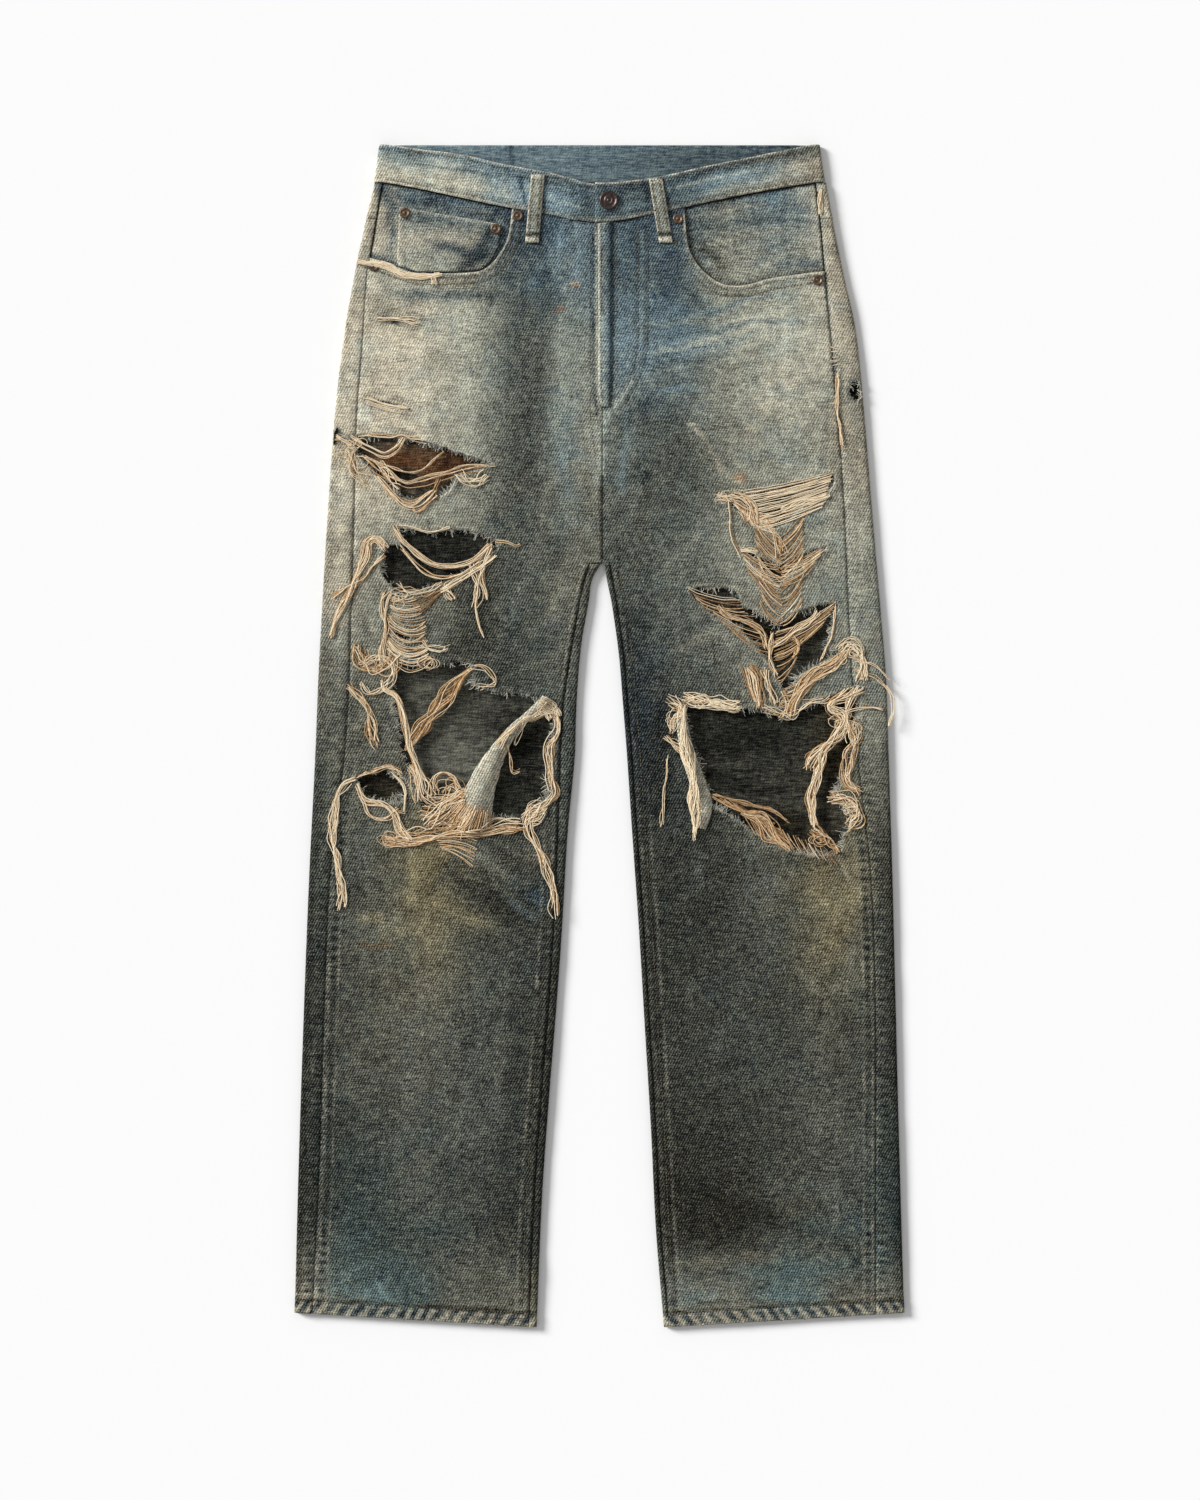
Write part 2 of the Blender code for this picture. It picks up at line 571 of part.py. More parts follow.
def turned(name, profile, place, kind, segments=20):
    """A round piece from its profile, on the axis at place. The profile runs down outside."""
    bm = bmesh.new()
    verts = [bm.verts.new((r * MM, 0, z * MM)) for r, z in profile]
    for a, b in zip(verts, verts[1:]):
        bm.edges.new((a, b))
    mesh = bpy.data.meshes.new(name)
    bm.to_mesh(mesh)
    bm.free()
    obj = add_object(name, mesh, kind)
    obj.location = [c * MM for c in place]
    spin = obj.modifiers.new("turn", 'SCREW')
    spin.steps = segments
    spin.render_steps = segments
    spin.use_merge_vertices = True
    spin.merge_threshold = 0.00001
    spin.use_smooth_shade = True
    return obj


def rivet(name, x, y, z):
    """Domed burr of a pocket rivet."""
    profile = [(0, 1.6), (1.6, 1.5), (2.4, 0.9), (3.6, 1.2), (4.8, 0.7), (5.0, 0.0), (0, 0)]
    return turned(name, profile, (x, y, z), "copper", 14)


def shank_button():
    """Waist button on its short shank, through the left end of the waistband."""
    profile = [(0, 4.4), (3.0, 4.2), (4.0, 3.6), (6.2, 3.5), (7.2, 4.0), (8.5, 3.4),
               (8.85, 2.4), (8.3, 1.6), (4.0, 1.2), (3.4, 0.0), (0, 0)]
    place = (BUTTON_X, BUTTON_Y, LIE + BAND_RISE + OVER_LIFT + GAP)
    return turned("button", profile, place, "button", 24)


def path_points(route, spacing):
    """Points on a smooth curve through a route's own points."""
    points = []
    count = len(route)
    for i in range(count - 1):
        before, a = route[max(i - 1, 0)], route[i]
        b, after = route[i + 1], route[min(i + 2, count - 1)]
        steps = max(1, round(math.dist(a, b) / spacing))
        for k in range(steps):
            t = k / steps
            points.append([0.5 * (2 * a[c] + (b[c] - before[c]) * t
                                  + (2 * before[c] - 5 * a[c] + 4 * b[c] - after[c]) * t * t
                                  + (3 * a[c] - before[c] - 3 * b[c] + after[c]) * t**3)
                           for c in range(2)])
    points.append(list(route[-1]))
    return points


def strand(row):
    """The plain solid of a thread bundle's reach, lying on the cloth or across a rip."""
    curve = bpy.data.curves.new(row.name, 'CURVE')
    curve.dimensions = '3D'
    curve.bevel_depth = row.radius * MM
    curve.bevel_resolution = 1
    curve.use_fill_caps = True
    points = path_points(row.route, 12.0)
    line = curve.splines.new('POLY')
    line.points.add(len(points) - 1)
    for target, (x, y) in zip(line.points, points):
        face = max(top_face(x + dx, y + dy) for dx in (-6, 0, 6) for dy in (-6, 0, 6))
        z = face + 1.5 * GAP + row.radius * math.cos(math.pi / 6)
        target.co = (x * MM, y * MM, z * MM, 1.0)
    obj = bpy.data.objects.new(row.name, curve)
    garment.objects.link(obj)
    curve.materials.append(material("threads"))
    return obj


def flap(name, route):
    """A torn tongue of the knee's cloth, curled along its length."""
    rows = []
    for index, (x, y, half) in enumerate(route):
        ahead = route[min(index + 1, len(route) - 1)]
        behind = route[max(index - 1, 0)]
        run = (ahead.x - behind.x, ahead.y - behind.y)
        size = math.hypot(*run)
        across = (-run[1] / size, run[0] / size)
        row = []
        for k in range(-3, 4):
            bow = math.sin(math.pi * (k + 3) / 6)
            row.append((x + across[0] * half * k / 3, y + across[1] * half * k / 3,
                        top_face(x, y) + 1.3 * GAP + FLAP_WALL + FLAP_BOW * half * bow))
        rows.append(row)
    return sheet(name, rows, FLAP_WALL, "inside")


def build():
    """Every piece of the garment."""
    fronts = {-1: front_panel("front_right", -1, RIGHT_SIDE, RIGHT_INNER),
              1: front_panel("front_left", 1, LEFT_SIDE, LEFT_INNER)}
    backs = {-1: back_panel("back_right", -1, RIGHT_SIDE, RIGHT_INNER),
             1: back_panel("back_left", 1, LEFT_SIDE, LEFT_INNER)}
    yoke("yoke_right", -1, RIGHT_SIDE, RIGHT_INNER)
    yoke("yoke_left", 1, LEFT_SIDE, LEFT_INNER)
    waistband()
    holes_right = RIPS_RIGHT + SLITS_RIGHT
    cut(fronts[-1], prism("cut_rips_right", holes_right, CUT_LOW, CUT_HIGH))
    cut(fronts[1], prism("cut_rips_left", RIPS_LEFT, CUT_LOW, CUT_HIGH))
    cut(backs[-1], prism("cut_side_right", [NOTCH, RIPS_RIGHT[0]], SIDE_CUT_LOW, CUT_HIGH))
    cut(backs[1], prism("cut_side_left", [RIPS_LEFT[3]], SIDE_CUT_LOW, CUT_HIGH))
    cut(fronts[-1], pocket_cutter("cut_pocket_right", POCKET_RIGHT, -1))
    cut(fronts[1], pocket_cutter("cut_pocket_left", POCKET_LEFT, 1))
    facing("facing_right", -1, RIGHT_SIDE, 72.0, 424.0)
    facing("facing_left", 1, LEFT_SIDE, 70.0, 412.0)
    coin_pocket()
    fly_low = LIE + 2 * GAP
    prism("fly_edge", FLY_EDGE, fly_low, fly_low + FLY_EDGE_WALL, "blue")
    back_pocket("pocket_back_right", -1)
    back_pocket("pocket_back_left", 1)
    belt_loop("loop_front_right", -57.2, -62.8, 522.0, 458.5, 486.5)
    belt_loop("loop_front_left", 52.1, 61.8, 518.0, 458.5, 485.0)
    under_loop("loop_side_right", -128.0, 549.5, 500.0)
    under_loop("loop_side_left", 128.0, 549.5, 500.0)
    under_loop("loop_centre", -2.0, TOP, 500.0)
    shank_button()
    for row in RIVETS:
        rivet(row.name, row.x, row.y, LIE + GAP)
    flap("flap_right", FLAP_RIGHT)
    flap("flap_left", FLAP_LEFT)
    for row in STRANDS:
        strand(row)


for old in list(bpy.data.objects):
    bpy.data.objects.remove(old, do_unlink=True)
garment = bpy.data.collections.new("ripped_jeans")
cutters = bpy.data.collections.new("cutters")
bpy.context.scene.collection.children.link(garment)
bpy.context.scene.collection.children.link(cutters)
build()
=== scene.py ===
"""Looks of a pair of ripped straight-leg jeans laid flat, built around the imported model."""
import math
from collections import namedtuple

import bmesh
import bpy
import numpy as np
from bpy.props import FloatProperty, FloatVectorProperty, PointerProperty
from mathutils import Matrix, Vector, kdtree
from mathutils.geometry import delaunay_2d_cdt


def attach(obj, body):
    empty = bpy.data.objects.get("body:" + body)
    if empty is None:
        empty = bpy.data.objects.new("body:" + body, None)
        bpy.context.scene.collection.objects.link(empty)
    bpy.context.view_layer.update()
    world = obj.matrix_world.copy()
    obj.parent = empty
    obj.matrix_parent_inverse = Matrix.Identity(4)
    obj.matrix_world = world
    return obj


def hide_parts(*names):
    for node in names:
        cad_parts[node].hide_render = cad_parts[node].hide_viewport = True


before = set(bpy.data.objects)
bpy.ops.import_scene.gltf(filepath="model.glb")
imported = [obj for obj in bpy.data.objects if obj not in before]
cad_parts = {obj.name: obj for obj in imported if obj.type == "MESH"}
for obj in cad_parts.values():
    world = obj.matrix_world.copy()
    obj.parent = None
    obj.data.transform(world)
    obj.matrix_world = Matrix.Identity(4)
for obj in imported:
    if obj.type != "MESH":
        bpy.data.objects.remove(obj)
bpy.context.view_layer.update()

bl_info = {
    "name": "Ripped jeans",
    "version": (1, 0, 0),
    "blender": (4, 5, 0),
    "location": "View3D > Sidebar > Jeans",
    "description": "Worn denim jeans laid flat, with frayed rips, stitches and hardware",
    "category": "Add Mesh",
}

MM = 0.001
BODY = "root"

# Sizes in millimetres: x across the garment to the wearer's left, y from hems to waist, z up
LIE = 6.5             # upper face of the laid legs
RADIUS = LIE / 2      # of the folds at the sides of a leg
CENTRE = 3.0          # x of the rise seams
FORK = 160.0
SIDE_WAIST = 515.0    # lower edge of the waistband at the side folds
TOP = 550.0
SEAT_LIFT = 1.6
BACK_LIFT = 1.5
OVER_LIFT = 1.4
UNDER_DROP = 1.3
BAND_FACE = 7.2
YOKE_CENTRE, YOKE_SIDE = 454.0, 481.0
HEM_DEPTH = 14.0
FOOT = -550.0         # lowest point of the hems, at the inseams
HEM_RISE = 13.6       # of a hem on its way to the outer fold
SLANT_TOP = -516.0    # from here down, the back's rows of points lean with the hem
SIDE_U = 205.0        # where the yoke seam meets the outseam
HALF_GAP = 0.15       # of the gap between pieces that meet
ON_TOP = 3.2          # parts the top of a wrapped piece from its underside
BAND_LEAN = 0.024     # share by which the waistband narrows towards its top edge
BAND_END = (26.0, 44.0)    # under the left end, and where that end has come down to the rest
FACING_DROP = 1.55    # of the pocket facings under the front
UNDER_FACE, UNDER_WALL = 1.25, 1.2    # of the pieces under the back
LOOP_HALF = 6.2
FLAP_LIFT, FLAP_BOW = 1.9, 0.42    # of a torn tongue, the second in shares of its half width
TORN_REACH = 9.0      # how far a torn edge is felt
YARN_STEP = 2.6       # between the points of a loose yarn
LEGS = ((-1, "right"), (1, "left"))

Side = namedtuple("Side", "y outer outseam")
Inner = namedtuple("Inner", "y inseam inner")
Band = namedtuple("Band", "x top bottom")
Fold = namedtuple("Fold", "x y angle length width height")
Tones = namedtuple("Tones", "y codes")
Stroke = namedtuple("Stroke", "x y angle length width tone strength", defaults=[0.5])
Seam = namedtuple("Seam", "route width height tone strength rope")
Bundle = namedtuple("Bundle", "count spread wave tint route shape", defaults=["even"])
Stack = namedtuple("Stack", "count first last first_end last_end sag tint")
Patch = namedtuple("Patch", "x y across along tone")


def rows_of(kind, *rows):
    """The rows of a table, with their columns named."""
    return [kind(*row) for row in rows]


# Distances from the middle of the garment, on each leg's own side
SIDES = {
    -1: rows_of(Side,
        (515, 209.3, 202.3), (471, 219.5, 209.5), (430, 228.0, 216.0), (368, 238.5, 220.0),
        (300, 246.3, 225.3), (215, 252.5, 227.5), (122, 258.1, 230.3), (52, 261.8, 232.3),
        (-18, 264.6, 236.7), (-125, 270.0, 249.7), (-245, 274.8, 255.3), (-398, 280.0, 260.0),
        (-550, 284.0, 267.5)),
    1: rows_of(Side,
        (515, 211.1, 201.3), (476, 218.0, 206.0), (427, 227.8, 210.2), (378, 238.5, 215.0),
        (300, 246.5, 221.8), (215, 253.4, 228.0), (122, 261.3, 231.8), (52, 266.9, 235.5),
        (-18, 269.2, 240.4), (-125, 272.6, 252.5), (-245, 275.6, 257.1), (-398, 279.5, 257.3),
        (-550, 284.0, 257.3))}
INNERS = {
    -1: rows_of(Inner,
        (160, 9.0, -1.0), (145, 14.0, 7.0), (126, 18.1, 9.8), (89, 24.6, 16.3), (52, 30.4, 20.0),
        (15, 34.9, 21.9), (-18, 36.4, 22.8), (-87, 38.5, 29.3), (-180, 42.5, 34.9),
        (-245, 46.8, 39.5), (-338, 54.0, 47.0), (-431, 60.5, 53.5), (-550, 65.6, 58.4)),
    1: rows_of(Inner,
        (160, 10.0, 4.7), (145, 12.5, 7.0), (122, 16.6, 11.6), (75, 23.1, 18.1), (29, 26.9, 21.9),
        (-18, 30.6, 25.6), (-87, 35.2, 30.2), (-180, 41.7, 36.7), (-273, 47.3, 42.3),
        (-366, 52.9, 47.9), (-459, 57.5, 52.5), (-550, 65.0, 60.0))}
BAND = rows_of(Band,
    (-210, 550, 515), (-201, 549.6, 515), (-170, 545.5, 509.5), (-130, 540.5, 501),
    (-90, 531.5, 492.5), (-48, 524, 485.5), (-4, 514.5, 477.5), (50, 519, 485.5), (102, 530, 497),
    (150, 539.5, 506.5), (201, 549.6, 515), (210, 550, 515))

# Largest folds of the cloth on top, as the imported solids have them
FOLDS = rows_of(Fold,
    (-101, -142, -32, 105, 13, -1.6), (-112, -112, -20, 120, 20, 2.2),
    (-190, -196, -8, 46, 10, -1.1), (-170, -100, 12, 60, 16, 1.4), (-180, 60, 85, 150, 20, 1.2),
    (-75, 120, 70, 160, 24, 1.2), (-150, 300, 8, 130, 22, 1.4), (-120, 350, -14, 120, 18, 1.0),
    (-160, -330, 60, 190, 34, 1.3), (-215, -470, 20, 110, 20, 1.2), (-95, -490, -12, 90, 18, 1.2),
    (112, -452, -25, 135, 20, -1.7), (122, -487, -8, 100, 18, 1.8), (226, -494, -24, 70, 12, -1.3),
    (120, -420, -28, 120, 18, 1.4), (150, -140, 8, 130, 22, 1.5), (212, -128, -58, 60, 12, -1.2),
    (109, 252, -38, 60, 12, 1.2), (150, 300, 6, 150, 20, 1.2), (110, 360, 10, 130, 15, 0.9),
    (80, -300, 75, 200, 36, 1.2), (215, -300, 88, 220, 26, 1.1), (70, 90, 78, 150, 26, 1.2))

# Smaller creases, laid one by one
CREASES = rows_of(Fold,
    # right hip and thigh
    (-190, 402, -8, 70, 7, 0.7), (-150, 396, -6, 90, 6, -0.6), (-120, 372, 14, 80, 8, 0.7),
    (-178, 352, 10, 70, 9, 0.6), (-92, 300, 62, 90, 12, -0.8), (-62, 330, 78, 110, 12, 0.8),
    (-40, 268, 84, 120, 10, -0.6), (-130, 262, -24, 60, 6, 0.8), (-80, 236, 34, 60, 9, -0.7),
    (-52, 196, 76, 90, 10, 0.7), (-70, 148, 60, 70, 8, -0.6), (-42, 100, 74, 90, 8, 0.6),
    (-214, 330, 84, 70, 8, 0.5), (-205, 120, 82, 90, 9, -0.6), (-220, 20, 80, 80, 8, 0.6),
    # below the right knee
    (-140, -134, 62, 60, 10, 1.3), (-160, -152, 70, 70, 8, -1.1), (-112, -160, -38, 70, 9, 1.5),
    (-84, -150, -42, 66, 8, -1.5), (-64, -178, -50, 50, 8, 0.9), (-186, -170, 50, 60, 9, 0.8),
    (-202, -150, 78, 60, 9, -0.8), (-130, -212, 12, 90, 12, -0.7), (-90, -232, -20, 80, 12, 0.8),
    (-180, -262, 22, 80, 12, 0.7), (-120, -300, 74, 110, 12, -0.6), (-205, -330, 84, 130, 12, 0.7),
    (-90, -352, 80, 110, 14, 0.8), (-150, -402, 12, 90, 12, -0.6), (-190, -432, -14, 90, 12, 0.7),
    (-110, -440, 8, 80, 10, 0.6), (-85, -468, -20, 70, 10, -1.0), (-160, -500, 6, 120, 9, -0.7),
    (-230, -505, 34, 50, 8, 0.8), (-120, -520, -8, 110, 6, -1.1),
    # left hip and thigh
    (70, 392, 20, 80, 7, 0.7), (110, 402, 12, 110, 6, -0.6), (150, 390, 10, 110, 7, 0.7),
    (90, 372, 12, 120, 6, -0.6), (140, 362, 8, 120, 7, 0.6), (80, 346, 16, 90, 8, 0.8),
    (50, 318, 22, 70, 9, -0.9), (60, 298, 6, 70, 7, 0.7), (100, 330, 6, 100, 7, -0.5),
    (102, 262, -52, 62, 5, 1.3), (96, 256, -52, 58, 4, -1.0), (120, 238, -50, 30, 5, 0.9),
    (170, 330, 70, 90, 12, 0.6), (40, 232, 78, 90, 10, 0.6), (62, 196, 70, 90, 10, -0.6),
    (84, 160, 66, 60, 9, 0.8), (40, 130, 80, 100, 9, 0.7), (204, 270, 84, 80, 9, 0.6),
    (112, 72, 30, 70, 12, 1.0), (96, 88, 20, 60, 9, -0.8), (60, 52, 64, 70, 10, 0.7),
    # below the left knee
    (205, -120, -50, 60, 8, 1.2), (224, -118, -64, 66, 7, -1.2), (180, -150, -18, 90, 12, 0.8),
    (110, -126, 26, 80, 10, -0.7), (90, -160, 72, 90, 12, 0.7), (222, -180, 76, 90, 9, 0.7),
    (150, -210, 6, 110, 14, -0.6), (200, -250, 84, 110, 12, 0.6), (110, -270, 70, 110, 14, -0.7),
    (160, -330, 20, 90, 14, 0.7), (90, -352, 62, 90, 12, 0.7), (200, -380, -14, 90, 12, -0.6),
    (130, -412, -20, 110, 12, 0.9), (98, -436, -34, 80, 10, 1.1), (100, -462, -16, 90, 9, -1.4),
    (150, -474, -12, 110, 12, 1.3), (190, -505, 14, 90, 9, -0.9), (240, -480, 60, 70, 9, 0.9),
    (130, -518, 4, 130, 7, -0.9), (220, -515, 30, 50, 8, 0.9))

# Rips through the front panels, each a closed outline going round
RIPS = {
    -1: [
        [(-238, 275), (-225, 280), (-195, 280), (-148, 270), (-111, 258), (-95, 254), (-120, 246),
         (-133, 242), (-140, 229), (-160, 216), (-174, 217), (-190, 227), (-212, 246),
         (-227, 263)],
        [(-189, 193), (-158, 190), (-120, 191), (-95, 181), (-102, 170), (-130, 150), (-148, 140),
         (-172, 133), (-188, 134), (-198, 142), (-203, 160), (-197, 177), (-186, 179)],
        [(-192, 66), (-162, 68), (-120, 67), (-116, 46), (-69, 38), (-51, 33), (-44, 22),
         (-44, -15), (-48, -52), (-67, -73), (-97, -77), (-148, -86), (-163, -71), (-175, -36),
         (-187, 1)],
        [(-227, -39), (-219, -33), (-199, -31), (-186, -37), (-177, -49), (-186, -60), (-201, -63),
         (-219, -57)],
        [(-207, 390), (-190, 389), (-169, 385), (-188, 384)],
        [(-213, 313), (-199, 311), (-175, 303), (-197, 306)],
        [(-194, 97), (-184, 99), (-176, 92), (-186, 88)]],
    1: [
        [(114, 224), (146, 227), (191, 237), (218, 243), (212, 225), (196, 216), (182, 209),
         (174, 198), (160, 192), (145, 197), (129, 208)],
        [(132, 173), (159, 164), (173, 162), (211, 177), (200, 167), (177, 150), (166, 141),
         (157, 148), (145, 158)],
        [(84, 136), (123, 136), (133, 123), (146, 116), (168, 106), (186, 116), (219, 124),
         (220, 115), (212, 84), (226, 79), (205, 66), (186, 57), (177, 42), (169, 48), (153, 74),
         (138, 92), (121, 106), (103, 115)],
        [(79, 31), (131, 28), (159, 25), (174, 19), (186, 28), (214, 37), (235, 46), (240, 33),
         (240, 1), (233, -27), (222, -50), (226, -65), (240, -76), (228, -92), (222, -107),
         (186, -109), (154, -95), (117, -71), (103, -60), (95, -40), (90, -24), (84, -5),
         (80, 13)]]}
WRAP_HOLES = {
    -1: [[(-256, 291), (-243, 286), (-240, 279), (-244, 271), (-256, 272)], RIPS[-1][0]],
    1: [RIPS[1][3], [(234, 330), (240, 331), (243, 322), (242, 314), (237, 312), (233, 319)]]}
POCKETS = {
    -1: [(-216, 445), (-202, 441), (-186, 435), (-169, 430), (-130, 430), (-111, 432),
         (-100, 439), (-90, 452), (-84, 466), (-81, 489)],
    1: [(211, 432), (186, 429), (159, 425), (137, 419), (118, 419), (105, 425),
        (91, 438), (82, 456), (79, 484)]}
COIN = [(-186, 492), (-188.5, 441), (-186, 437), (-169, 432), (-130, 432), (-111, 434),
        (-102, 441), (-94, 456), (-92, 476)]

# Worn tones by place: a letter for the shade and its lightness in hundredths
SHADES = {
    "w": "warm", "y": "straw", "m": "moss", "g": "grey", "b": "blue", "i": "indigo", "u": "umber",
    "c": "cream", "t": "teal"}
# Across a leg: its inseam or rise seam, inner front, crease line, outer front and side fold
WEAR_ACROSS = (0.04, 0.30, 0.52, 0.76, 0.98)
# Wear zones down a leg: waist, pocket, hip, thigh, fork, knee, under the knee, shin, ankle, hem
WEAR = {
    -1: rows_of(Tones,
        (500, "b40 i25 b40 b35 w65"), (430, "b45 b30 m50 m60 w70"), (370, "g50 g35 m65 w70 w70"),
        (270, "m50 g30 m60 w70 w70"), (160, "m40 g30 m45 m55 w60"), (10, "g30 g25 g25 m35 m35"),
        (-120, "g25 m25 y40 m35 g25"), (-290, "g20 g30 m35 m30 g20"),
        (-450, "g20 g25 g30 t25 g20"), (-525, "m35 m35 t30 t35 w50")),
    1: rows_of(Tones,
        (500, "b40 i30 g40 b45 w60"), (430, "b35 b35 m55 m60 w60"), (370, "b45 b45 m60 m65 w60"),
        (270, "g40 g30 m50 m55 w55"), (160, "g30 g35 m50 m55 m55"), (10, "i15 g30 m40 m45 m45"),
        (-120, "g20 g20 m35 y40 m30"), (-290, "g20 g25 g25 m30 g25"),
        (-450, "m15 m15 m25 g30 t25"), (-525, "g40 m40 t40 m35 m40"))}

# Whiskers and stains, and in some creases painted shade and highlight, laid in order over the
# tones at half strength or as given
STROKES = rows_of(Stroke,
    # pocket facings
    (-196, 500, -60, 26, 11, "i18", 0.75), (-172, 494, -14, 60, 4, "w52"),
    (-150, 494, -16, 90, 5, "i20", 0.65), (-112, 486, -16, 40, 5, "w50"),
    # the dark strokes beside the coin pocket's lower right corner are painted shade
    (-103, 470, 76, 50, 8, "i16", 0.75), (-114, 450, 30, 30, 9, "i17", 0.7),
    # the dark stroke down the right pocket's outer side and the dark stroke on the left facing are
    # painted shadows
    (-194, 470, 84, 50, 5, "i24"), (104, 446, -42, 44, 12, "m22", 0.6),
    (186, 440, 8, 50, 7, "i26", 0.6), (150, 476, 4, 110, 6, "b32", 0.6),
    (120, 488, 8, 80, 5, "w56"), (140, 463, 10, 90, 4, "w60"), (170, 486, 6, 60, 4, "b30"),
    (160, 450, 36, 50, 6, "b36"),
    # right front: blue under the waistband, pale rub lines, dirt
    (-140, 408, -4, 110, 7, "b30", 0.8), (-150, 421, -6, 100, 8, "w63", 0.8),
    (-108, 420, 30, 46, 6, "b36", 0.6), (-170, 398, -6, 70, 6, "w68", 0.6),
    (-64, 300, 80, 190, 30, "g28", 0.45), (-82, 330, 74, 120, 9, "g37"),
    (-34, 330, 88, 240, 22, "g58", 0.45), (-28, 268, 84, 110, 16, "b50"),
    (-40, 250, 70, 120, 7, "m50"), (-50, 440, 66, 70, 5, "b54"), (-38, 452, 80, 60, 5, "b56"),
    (-22, 448, 86, 70, 5, "b58", 0.6), (-70, 424, 62, 50, 7, "m52"), (-52, 410, 80, 60, 10, "b24"),
    (-24, 423, 0, 8, 6, "u55", 0.55), (-36, 401, 0, 8, 6, "u55", 0.55),
    (-200, 414, 84, 60, 12, "m46"), (-205, 372, 70, 40, 10, "w74"),
    (-130, 238, -4, 60, 8, "m46", 0.6), (-80, 226, 50, 60, 16, "m30", 0.6),
    (-96, 150, 80, 70, 12, "m26"), (-60, 170, 70, 110, 10, "m46", 0.35),
    (-25, 196, 80, 60, 8, "m50", 0.4), (-43, 120, 76, 50, 8, "w50"),
    (-48, 92, 80, 30, 12, "b26", 0.6), (-214, 150, 86, 120, 10, "m56"),
    (-198, 105, 86, 70, 12, "m42", 0.6), (-224, 60, 84, 120, 8, "m30", 0.6),
    # painted shade on the cloth between the second rip and the right knee
    (-120, 105, 80, 90, 45, "m15", 0.8),
    # below the right knee
    (-140, -128, 60, 46, 9, "m27", 0.8), (-154, -150, 72, 60, 9, "y27"),
    # the darkest diagonals in the fold under the right knee are painted shade
    (-172, -128, 80, 50, 12, "y58", 0.7), (-108, -150, -38, 70, 14, "m16", 0.8),
    (-86, -160, -44, 46, 10, "m12", 0.7), (-96, -122, -32, 70, 12, "m50", 0.6),
    (-126, -166, -22, 60, 16, "y50", 0.6), (-60, -110, 0, 34, 18, "w48", 0.6),
    (-52, -150, -60, 30, 22, "i26", 0.85), (-74, -160, -40, 30, 10, "b38", 0.6),
    (-205, -195, 0, 30, 3, "u28", 0.8), (-200, -110, 0, 20, 14, "m20", 0.6),
    (-210, -172, 0, 26, 14, "y54", 0.6), (-190, -184, 20, 30, 16, "y56"),
    (-226, -136, 88, 90, 5, "m16"), (-120, -250, 84, 60, 8, "m34"),
    (-92, -300, 86, 120, 10, "m42", 0.4), (-150, -370, 10, 80, 26, "g33"),
    (-180, -456, 0, 110, 26, "t24"), (-215, -492, 0, 60, 12, "t28"),
    (-222, -520, -6, 60, 14, "t46", 0.8), (-190, -523, -4, 60, 9, "t40"),
    (-120, -531, -6, 90, 7, "g14", 0.85), (-70, -470, 80, 50, 14, "t17", 0.6),
    (-60, -515, 80, 26, 8, "y44", 0.6), (-224, -518, -62, 30, 3, "w58", 0.7),
    (-200, -518, -56, 26, 3, "t56", 0.7),
    # left front: rub lines round the hip, blue shadows
    (62, 424, 80, 60, 22, "i26", 0.7), (56, 410, 70, 60, 12, "b34", 0.6),
    (86, 408, -30, 50, 10, "b28", 0.7), (130, 411, -4, 70, 6, "m44", 0.7),
    (110, 400, 8, 120, 5, "b44", 0.7), (140, 398, 12, 120, 4, "m58", 0.6),
    (100, 388, 8, 130, 4, "m54", 0.7), (120, 380, 6, 150, 5, "b38", 0.7),
    (120, 371, 8, 160, 5, "m60", 0.7), (92, 362, 10, 120, 5, "b40", 0.7),
    (130, 354, 10, 150, 5, "m60", 0.6), (76, 350, 10, 70, 8, "b29", 0.6),
    (120, 344, 4, 120, 5, "m44", 0.6), (84, 336, 6, 90, 4, "m56", 0.6),
    (100, 329, 4, 120, 5, "m42"), (70, 322, 8, 70, 4, "b52", 0.6), (96, 314, -2, 90, 4, "m44"),
    (38, 303, 34, 44, 14, "i16", 0.85), (22, 318, 50, 60, 7, "g62", 0.8),
    (50, 286, 20, 70, 16, "g28"), (30, 276, 80, 90, 10, "g46"), (102, 266, -52, 66, 4, "w64", 0.8),
    (94, 262, -52, 56, 4, "m34", 0.6), (132, 240, -30, 14, 8, "u58", 0.55),
    (176, 330, 80, 70, 40, "w68"), (150, 300, 60, 60, 20, "w62", 0.4),
    (104, 330, 80, 60, 26, "m46"), (210, 296, 86, 110, 8, "m44"), (40, 196, 84, 120, 12, "m28"),
    (22, 260, 86, 70, 9, "b54", 0.6), (80, 176, 50, 80, 9, "m54"), (66, 130, 60, 80, 10, "m38"),
    (100, 90, 20, 70, 14, "w54"), (60, 44, 10, 44, 10, "m34", 0.6),
    (58, -10, 84, 110, 22, "m12", 0.7), (196, 130, 70, 50, 9, "m38"),
    # below the left knee
    (140, -122, 6, 120, 20, "m20", 0.6), (214, -120, -50, 40, 8, "m24", 0.7),
    (231, -122, -60, 50, 8, "m22", 0.7), (222, -120, -56, 44, 6, "w46", 0.7),
    (222, -170, 70, 90, 26, "y46"), (236, -210, 84, 60, 12, "m42"),
    (258, -100, 4, 20, 4, "m14", 0.8), (100, -190, 86, 130, 20, "m20"),
    (90, -128, 60, 50, 10, "g38"), (150, -250, 12, 110, 18, "m23"),
    (190, -320, 84, 110, 14, "g32", 0.4), (120, -350, 20, 90, 14, "m24"),
    # the darkest strokes in the fold above the left hem are painted shade, and the pale w42 on the
    # ridge below them is a painted highlight
    (120, -437, -20, 130, 18, "m10", 0.75), (92, -458, -12, 70, 16, "m11", 0.7),
    (160, -430, -8, 90, 16, "m27"), (120, -486, 4, 100, 14, "w42", 0.7),
    (196, -496, 4, 130, 16, "t38", 0.6), (238, -486, -56, 60, 9, "t18", 0.75),
    (254, -470, -60, 60, 8, "t34"), (208, -455, 0, 60, 16, "t32"),
    (160, -530, 0, 160, 6, "g20", 0.6), (90, -520, 0, 40, 10, "t44", 0.6))
